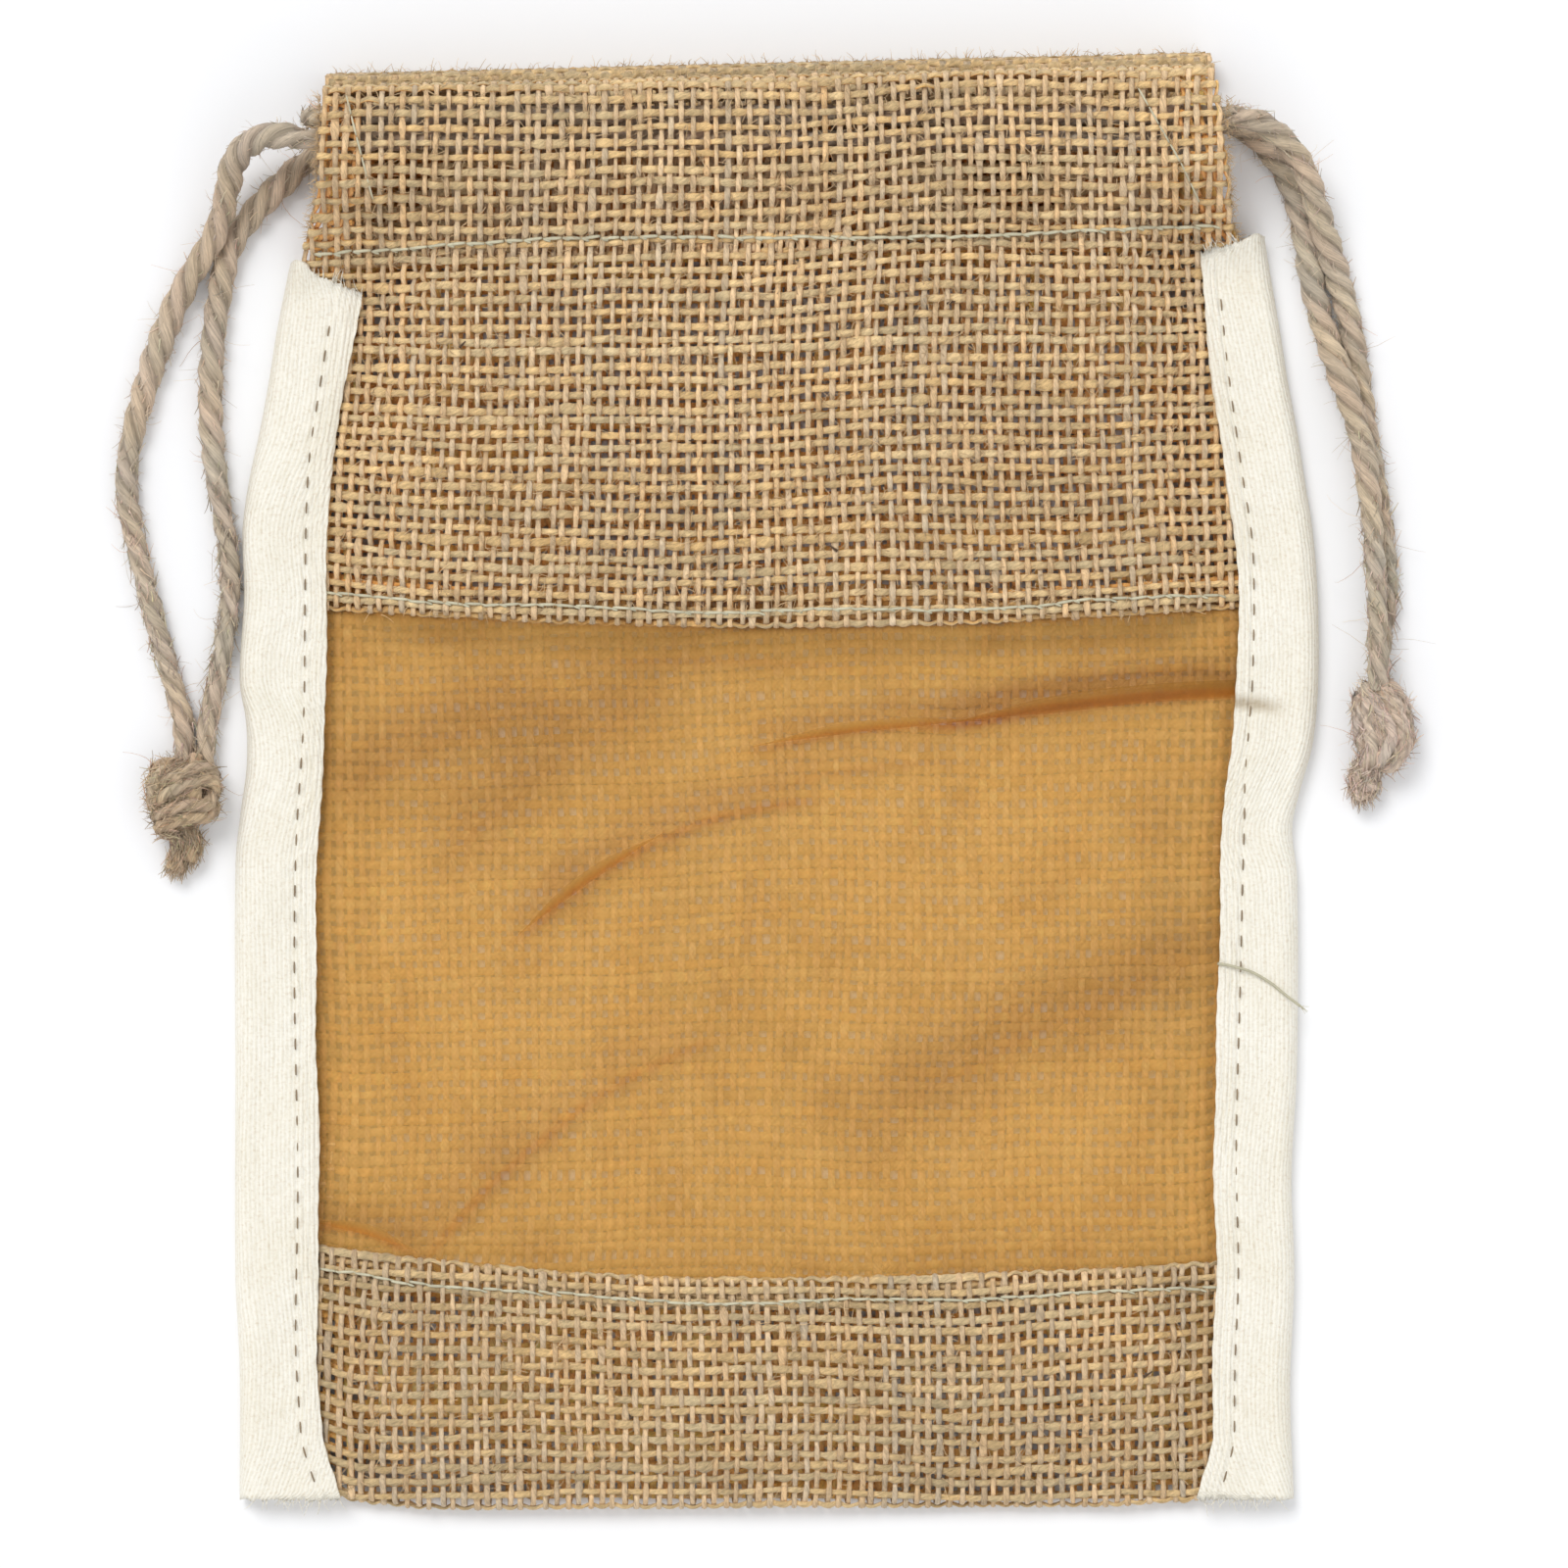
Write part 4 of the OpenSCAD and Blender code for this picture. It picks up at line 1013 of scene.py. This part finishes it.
def make_tape(side, name, material):
    outside, first = tape_sheet(side, 0.0)
    outside = tape_relief(side, outside, first)
    inside, _ = tape_sheet(side, TAPE_T)
    inside[:, first:, 2] = np.minimum(inside[:, first:, 2], outside[:, first:, 2] - 0.35)
    # The cut ends are ragged.
    for sheet in (outside, inside):
        ragged = wander(1, sheet.shape[1], 2, 0.35)[0]
        for k, size in ((0, 1.0), (1, 0.5), (-1, 1.0), (-2, 0.5)):
            sheet[k, :, 1] += size * ragged
        sheet[..., 0] *= side
    across = np.cumsum(np.linalg.norm(np.diff(outside, axis=1, prepend=outside[:, :1]), axis=2), axis=1)
    fibre = np.stack([across, outside[..., 1], np.zeros_like(across)], -1)
    maker = Maker()
    args = (outside, inside) if side > 0 else (inside, outside)
    # Painted shade in the nip across the right binding.
    crease_shade = np.clip(-crease(side * np.abs(outside[..., 0]), outside[..., 1]) / 0.5, 0, 1)[..., None]
    maker.slab(*args, fibre, COTTON * mix(1.0, np.array((0.60, 0.54, 0.46)), crease_shade))
    for _ in range(46):
        at = rng.integers(first, outside.shape[1])
        end = 0 if rng.random() < 0.55 else -1
        down = np.array((rng.normal(0, 0.35), -1.0 if end == 0 else 1.0, rng.normal(-0.1, 0.2)))
        hair(maker, outside[end, at] - (0, 0, 0.3), down, rng.uniform(0.8, 2.4), 0.07, COTTON * 0.97, 0.6,
             steps=4)
    tape = make_object(f"tape_{name}", maker, material, "cotton_tape")
    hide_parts(f"binding_{name}")
    height = tape_top_y(side, side * 68.0) - TAPE_LOW
    return tape


def tape_z(x, y):
    return under_tape(x, y) + TAPE_T


# ---------------------------------------------------------------- sewing
def dash(maker, a, b, radius, colour, arch=0.12, sides=6):
    """One stitch: a short thread that dips into the cloth at both ends."""
    t = np.linspace(0, 1, 7)[:, None]
    line = mix(np.asarray(a, float), np.asarray(b, float), t)
    line[:, 2] += (arch * np.sin(math.pi * t) - 0.7 * arch * (2 * t - 1) ** 4)[:, 0]
    rings, fibre = sweep(line, np.array((0, 0, 1.0)), radius * (0.75 + 0.25 * np.sin(math.pi * t[:, 0])),
                         radius * 0.85, sides)
    maker.tube(rings, fibre + rng.uniform(0, 90, 3), colour)


def stitch_run(maker, path, z_of, colour, pitch, share, radius, jitter=0.08, second=False):
    """A row of stitches along a list of (x, y), at the height that z_of gives."""
    p = np.asarray(path, float)
    run = run_of(p)
    for k in range(int(run[-1] / pitch)):
        ends = []
        for place in (k * pitch, (k + share) * pitch):
            x, y = np.interp(place, run, p[:, 0]), np.interp(place, run, p[:, 1])
            y = y + rng.normal(0, jitter)
            ends.append((x, y, value_at(z_of, x, y)))
        dash(maker, *ends, radius, colour * rng.uniform(0.88, 1.1))
        if second:
            # The bobbin thread shows between the stitches as a small loop.
            x1, y1, z1 = ends[1]
            dash(maker, (x1, y1, z1), (x1 + 0.35 * pitch, y1 - 0.3, z1), radius * 0.8,
                 colour * rng.uniform(0.8, 1.0), 0.05)


YARN_TOP = 0.36


def front_top(x, y):
    return front_mid_z(x, y) + YARN_TOP


def strip_top(x, y):
    return front_z(x, y) + CLOTH / 2 + ripple(x, y) + YARN_TOP


def sew(name, node_name, half, path, z_of, thread, *stitch):
    """One row of stitches as a piece. half is 0 where the row doesn't reach the gathered mouth."""
    material, slot, colour = thread
    row = Maker()
    stitch_run(row, path, z_of, colour, *stitch)
    piece = make_object(name, row, material, slot)
    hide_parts(node_name)
    if half:
        gather(piece, half)
    else:
        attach(piece, "pouch")


def make_threads(pale, dark):
    """Each row of stitches as a piece of its own. Those across the mouth come in two halves."""
    for half, name in SIDES:
        xs = np.linspace(0, half * (65.5 if half < 0 else 64.5), 40)
        sew(f"casing_thread_front_{name}", "casing_stitch_front", half,
            [(x, float(stitch_y(x)) - 0.5 * math.sin(x / 15)) for x in xs],
            lambda x, y: front_top(x, y) + 0.12, pale, 2.7, 0.92, 0.25, 0.12, True)
        xs = np.linspace(0, half * (60 if half < 0 else 56), 36)
        sew(f"casing_thread_back_{name}", "casing_stitch_back", half,
            [(x, float(stitch_y(x))) for x in xs],
            lambda x, y: back_hem_z(x, y) + CLOTH + BACK_LIFT + 0.2, pale, 2.7, 0.86, 0.19)
        top, low = ((-59.6, 95.4), (-55.2, 78.0)) if half < 0 else ((51.0, 96.4), (60.0, 80.5))
        sew(f"casing_end_thread_{name}", f"casing_end_stitch_{name}", half,
            [mix(np.array(top), np.array(low), t) for t in np.linspace(0, 1, 14)],
            lambda x, y: front_top(x, y) + 0.10, pale, 3.0, 0.9, 0.15, 0.05)
        ys = np.linspace(-99, tape_top_y(half, half * 62.0) - 2.5, 120)
        xs = half * (inner(half * np.ones_like(ys), ys) + stitch_inset(half, ys))
        sew(f"tape_thread_{name}", f"binding_stitch_{name}", half, list(zip(xs, ys)),
            lambda x, y: tape_z(x, y) + 0.03, dark, TAPE_STITCH, 0.42, 0.12, 0.0)
    for name, y_of, z_of in (("top", lambda x: window_top_y(x) + 1.9, front_top),
                             ("bottom", lambda x: curve(STRIP_EDGE, x) - 2.7, strip_top)):
        path = [(x, float(y_of(x)) + 0.25 * math.sin(x / 6)) for x in np.linspace(-64, 65, 80)]
        sew(f"window_thread_{name}", f"window_stitch_{name}", 0, path,
            lambda x, y: z_of(x, y) + 0.08, pale, 2.6, 0.88, 0.21, 0.10, True)
    # A loose end that curls over the right binding.
    points = [(62.6, -26.0), (64.8, -26.4), (67.4, -27.2), (70.0, -28.7), (72.0, -30.3), (74.2, -32.0)]
    lift = (0.1, 0.35, 0.45, 0.5, 0.55, 0.9)
    path = [(x, y, float(tape_z(min(x, 71.5), y)) + h) for (x, y), h in zip(points, lift)]
    line = spline(path, 0.5)
    row = Maker()
    rings, fibre = sweep(line, np.array((0.1, 0.05, 1.0)), 0.2, 0.17, 8)
    row.tube(rings, fibre, PALE_THREAD * 0.85)
    for _ in range(5):
        hair(row, line[-1], line[-1] - line[-4] + rng.normal(0, 0.25, 3), 1.3, 0.06, PALE_THREAD, 0.4)
    piece = make_object("loose_thread_end", row, pale[0], "casing_thread")
    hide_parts("loose_thread")
    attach(piece, "pouch")


def gather(piece, half):
    """Bakes the piece's transform into its mesh."""
    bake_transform(piece)


# ---------------------------------------------------------------- window
BROAD = 4.5
CREASE_LINE, CREASE_SHADE = np.array((0.98, 0.66, 0.26)), np.array((0.56, 0.44, 0.24))
# Each crease: its two ends, its height, its width, how steep its lower side is, and how strongly its line,
# its band of painted shade and its pleats show.
CREASES = [((-36, -22), (-15.5, -7.6), 1.5, 3.2, 0.45, 0.8), ((-17, -8.4), (6, -2.5), 1.3, 3.0, 0.5, 0.6),
           ((-50, -68), (-28, -46.5), 1.2, 4.0, 0.45, 0.55), ((-31, -48.5), (-8, -36), 1.0, 3.6, 0.5, 0.45),
           ((-3, 4.6), (30, 8.3), 1.2, 2.2, 0.45, 0.75), ((24, 7.8), (70, 12.9), 1.9, 2.4, 0.35, 2.0),
           ((-3, -1.5), (26, 3.0), 0.8, 2.4, 0.5, 0.2), ((-26, 16.5), (14, 15.5), 0.9, 3.2, 0.6, 0.25),
           ((-62, -2), (-30, 12), 0.6, 7.0, 0.7, 1.0), ((-48, -12), (-12, 15), 0.5, 8.0, 0.8, 0.9),
           ((10, -50), (66, -22), 0.5, 8.0, 0.8, 0.9), ((-66, -62.5), (-50, -66.5), 0.9, 1.8, 0.5, 0.7)]


def way(a, b):
    """How far b is from a, and in which direction."""
    step = np.array(b, float) - np.array(a, float)
    length = np.linalg.norm(step)
    return length, step / length


def beside(x, y, a, b):
    """How far points lie above the bowed line from a to b, and their share of its ends."""
    length, along = way(a, b)
    t = ((x - a[0]) * along[0] + (y - a[1]) * along[1]) / length
    off = (x - a[0]) * -along[1] + (y - a[1]) * along[0] - 1.1 * np.sin(math.pi * np.clip(t, 0, 1))
    return off, smooth((t + 0.12) / 0.35) * smooth((1.12 - t) / 0.35)


def window_shape(x, y):
    """The slack of the sheer cloth: long diagonal creases and a fold from the right binding."""
    lift = 0
    for a, b, height, wide, steep, _ in CREASES:
        off, ends = beside(x, y, a, b)
        lift = lift + height * np.exp(-(off / np.where(off > 0, wide, wide * steep)) ** 2) * ends
    swell = 0.35 * np.sin(x / 13 + y / 17) + 0.25 * np.sin(x / 7.5 - y / 11 + 1.3)
    room = smooth((window_top_y(x) - 0.5 - y) / 5) * smooth((y - curve(STRIP_EDGE, x) - 0.5) / 5)
    # The cloth lies lower between the seams than the CAD model's taut window does.
    rest = (0.25 + 0.75 * off_seam(x, y)) * room
    return (lift + swell) * rest - 2.3 * room * off_seam(x, y)


def window_dye_and_shade(x, y):
    """The sheer cloth looks deeper along its folds, where it is seen edge on. Painted shade lies in a soft
    band beside each fold, painted shadow below the top seam, and painted shade beside the bindings and near
    the lower seam.
    """
    colour = np.broadcast_to(GOLD, x.shape + (3,))
    for a, b, _, wide, _, show in CREASES:
        off, ends = beside(x, y, a, b)
        sharp = 1 if wide < BROAD else 0.12
        line = np.clip(sharp * show * ends * np.exp(-((off + 0.5) / 0.62) ** 2), 0, 1)[..., None]
        # Painted shade: a soft band beside the fold's line.
        soft = np.clip(0.65 * show * ends * np.exp(-((off - 1.5) / (0.7 * wide + 1.0)) ** 2), 0, 1)[..., None]
        colour = colour * mix(1.0, CREASE_LINE, line) * mix(1.0, CREASE_SHADE, soft)
    # Painted shadow below the top seam, and painted shade beside the bindings and near the lower seam.
    below = window_top_y(x) - y
    seam = 0.75 * np.exp(-(np.maximum(below, 0) / 1.0) ** 2) + 0.25 * np.exp(-(below / 6.0) ** 2)
    tape_shade = 0.25 * (1 - smooth((inner(x, y) - np.abs(x)) / 4))
    foot_shade = 0.22 * (1 - smooth((y - curve(STRIP_EDGE, x)) / 7))
    for share in (seam, tape_shade, foot_shade):
        colour = colour * mix(1.0, CREASE_SHADE, share[..., None])
    return colour


PLEAT_FROM = 0.7
# Painted light at each pleat's lower edge and painted shade on its far side.
PLEAT_LIT_EDGE, PLEAT_SHADE = np.array((1.28, 0.86, 0.34)), np.array((0.95, 0.80, 0.52))


def window_z(x, y):
    return front_z(x, y) - 0.22 + window_shape(x, y)


def add_pleats(maker):
    """Under each sharp crease the sheer cloth lies in more layers, so less shows through it. Each layer runs
    from a brightened orange at its lower edge, painted light, to painted shade on its far side.
    """
    t, across = np.linspace(0, 1, 70)[:, None], np.linspace(0, 1, 7)[None, :]
    for a, b, _, wide, _, show in CREASES:
        if show < PLEAT_FROM or wide > BROAD:
            continue
        length, along = way(a, b)
        ends = smooth(t / 0.4) * (smooth((1 - t) / 0.4) if b[0] < 60 else 1.0)
        for layer, depth in enumerate((0.28, 0.46)):
            big = min(show, 1.3)
            reach = 0.1 + (1.9 - 0.6 * layer) * big * ends
            off = 1.1 * np.sin(math.pi * t) - (0.9 - 0.25 * layer) * big * ends - 0.1 + reach * across
            x = a[0] + along[0] * t * length - along[1] * off
            y = a[1] + along[1] * t * length + along[0] * off
            x, y = np.minimum(x, edge(x, y) - 0.8), np.broadcast_to(y, x.shape)
            middle = np.stack([x, y, window_z(x, y) - depth], -1)
            # Painted light at the lower edge, painted shade across the rest.
            shade = mix(PLEAT_LIT_EDGE, PLEAT_SHADE, (smooth(across * 1.6) + 0 * t)[..., None])
            fibre = np.stack([x, y, np.zeros_like(x)], -1)
            thick = np.array((0, 0, 0.06))
            maker.slab(middle - thick, middle + thick, fibre, GOLD * shade)


def make_window(material):
    rows, cols = 260, 330
    t, u = np.linspace(0, 1, rows)[:, None], np.linspace(-1, 1, cols)[None, :]
    overlap = 3.5
    flat_x = 68 * u
    y = mix(window_top_y(flat_x) + overlap, curve(STRIP_EDGE, flat_x) - overlap, t)
    x = np.sign(u) * np.abs(u) * (edge(u + 0 * y, y) - 0.3)
    y = mix(window_top_y(x) + overlap, curve(STRIP_EDGE, x) - overlap, t)
    z = window_z(x, y)
    under_seam = smooth((y - window_top_y(x) + 0.8) / 1.5) + smooth((curve(STRIP_EDGE, x) + 0.8 - y) / 1.5)
    z = z - 0.35 * np.clip(under_seam, 0, 1)
    middle = np.stack([x, y, z], -1)
    up = unit(np.cross(np.gradient(middle, axis=0), np.gradient(middle, axis=1)))
    fibre = np.stack([x, y, np.zeros_like(x)], -1)
    maker = Maker()
    thick = 0.1
    maker.slab(middle + up * thick, middle - up * thick, fibre, window_dye_and_shade(x, y))
    add_pleats(maker)
    window = make_object("window_cloth", maker, material, "organza")
    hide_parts("window")
    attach(window, "pouch")


# ---------------------------------------------------------------- loose fibres on the hessian
def scatter_hairs(makers, count, x_range, y_range, top):
    for _ in range(count):
        x = rng.uniform(*x_range)
        y = rng.uniform(y_range[0], min(y_range[1], float(mouth_y(x)) - FRONT_DROP - 0.8))
        # The cloth narrows towards the mouth, and the fibres stay on it.
        x *= min(1.0, (value_at(edge, x, y) - 0.6) / x_range[1])
        z = value_at(top, x, y) + rng.uniform(-0.1, 0.15)
        turn = rng.uniform(0, 2 * math.pi)
        lean = (math.cos(turn), math.sin(turn), rng.normal(0.1, 0.15))
        tint = JUTE * rng.uniform(0.75, 1.35)
        hair(makers[0 if x < 0 else -1], (x, y, z), lean, rng.uniform(0.8, 2.8),
             rng.uniform(0.035, 0.075), tint, 0.9, floor=z - 0.1, steps=3)


def mouth_hairs(makers, count):
    """Short fibres that stand out from the two folds at the mouth and from the casing's ends."""
    for _ in range(count):
        side = rng.random()
        if side < 0.5:
            x = rng.uniform(-62, 61)
            front = rng.random() < 0.45
            y = float(mouth_y(x)) - (FRONT_DROP if front else 0) - 0.2
            start = (x, y, FRONT_HEM_Z + FOLD_R if front else FOLD_R)
            lean = (rng.normal(0, 0.6), 1.0, rng.normal(0.15, 0.5))
        else:
            y = rng.uniform(76, 95.5)
            x = value_at(edge, 1.0 if rng.random() < 0.5 else -1.0, y)
            x = x if rng.random() < 0.5 else -value_at(edge, -1.0, y)
            start = (x, y, value_at(front_mid_z, x * 0.98, y) - 0.3)
            lean = (math.copysign(1.0, x), rng.normal(0, 0.6), rng.normal(0, 0.4))
        hair(makers[0 if start[0] < 0 else 1], start, lean, rng.uniform(0.5, 2.0),
             rng.uniform(0.03, 0.065), JUTE * rng.uniform(0.7, 1.25), 1.5, steps=5)


BARK = np.array((0.11, 0.065, 0.035))
HIGH_FLECKS = [(24.3, 66.6, 2.2, 0.5), (46.2, 55.0, 1.6, 2.0), (-12.0, 47.5, 1.4, 0.2),
               (9.0, 32.0, 1.5, 2.6), (-44.0, 60.5, 1.3, 1.0)]
LOW_FLECKS = [(52.0, -84.0, 1.5, 0.4), (-20.0, -90.0, 1.3, 1.8)]


def bark_flecks(makers, flecks):
    """Slivers of dark bark that are spun into the yarn, each with its place, length and turn."""
    for x, y, length, turn in flecks:
        z = value_at(front_z, x, y) + CLOTH / 2 + 0.5
        hair(makers[0 if x < 0 else -1], (x, y, z), (math.cos(turn), math.sin(turn), 0), length, 0.24,
             BARK, 0.2, floor=z - 0.1, steps=3)


# ---------------------------------------------------------------- build
make_studio()

make_cord("left", LEFT_ROUTE, 0.4, (-83.2, -2.2, 3.5), LEFT_TIE, (0.90, 0.84, 0.74))
make_cord("right", RIGHT_ROUTE, 1.1, (85.6, 7.5, 3.3), RIGHT_TIE, (1.14, 1.12, 1.18))

jute = fibrous("jute_hessian", 0.95, (0.9, 3.0, 3.0), (0.66, 1.26), 0.00022, 0.2)
pale, dark = [(fibrous(name, 0.7, (1.2, 6.0, 6.0), (0.85, 1.1), 0.00005, 0.05), slot, colour)
              for name, slot, colour in (("pale_thread", "casing_thread", PALE_THREAD),
                                         ("dark_thread", "binding_thread", DARK_THREAD))]

# The hessian. Each surface runs from its hem's cut edge, below 0, over the mouth's fold at 0.
HEM_DEPTH = CASING + 2.0
FOLD_PACK = 2.2
# The back's yarns get stronger painted highlight and shade on their crests than the front's.
BACK_SPREAD, BACK_CREST_SHADING = (1.60, 1.53, 0.6), 0.26
front = (Maker(), Maker())
u_low, u_high = -(HEM_DEPTH - FRONT_START) - QUARTER, QUARTER + FRONT_END - FRONT_START + HEM_L
weave(front, place_front, inside_front, weft_places(u_low, u_high, FOLD_PACK), 6, inner=-1)
back = (Maker(), Maker())
v_low, v_high = -(HEM_DEPTH - FOLD_R) - QUARTER, QUARTER + BACK_END - FOLD_R
weave(back, place_back, inside_back, weft_places(v_low, v_high, FOLD_PACK), 4, 2, BACK_SPREAD, 1,
      BACK_CREST_SHADING)
strip = (Maker(),)
w_high = STRIP_ARC + STRIP_L + HEM_L
weave(strip, place_strip, inside_strip, weft_places(0, w_high), 6)

for k, (half, name) in enumerate(SIDES):
    piece = make_object(f"front_cloth_{name}", front[k], jute, "jute_cloth")
    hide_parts("front_panel", "front_hem")
    gather(piece, half)
    flat, area = cut_size(inside_front, half, u_low, u_high)
    piece = make_object(f"back_cloth_{name}", back[k], jute, "jute_cloth")
    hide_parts("back_panel", "back_hem")
    gather(piece, half)
    flat, area = cut_size(inside_back, half, v_low, v_high)
piece = make_object("lower_strip", strip[0], jute, "jute_cloth")
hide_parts("back_panel")
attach(piece, "pouch")
halves = [cut_size(inside_strip, half, 0, w_high) for half in (-1, 1)]

make_window(organza_material())
cotton = cotton_material()
for half, name in SIDES:
    gather(make_tape(half, name, cotton), half)
make_threads(pale, dark)

loose = (Maker(), Maker())
scatter_hairs(loose, 4800, (-61, 61), (23, 99), front_top)
mouth_hairs(loose, 1100)
bark_flecks(loose, HIGH_FLECKS)
for k, (half, name) in enumerate(SIDES):
    gather(make_object(f"cloth_hairs_{name}", loose[k], jute, "jute_cloth"), half)
low_hairs = (Maker(),)
scatter_hairs(low_hairs, 1400, (-60, 60), (-100, -72), lambda x, y: front_z(x, y) + CLOTH - 0.1)
bark_flecks(low_hairs, LOW_FLECKS)
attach(make_object("cloth_hairs_low", low_hairs[0], jute, "jute_cloth"), "pouch")
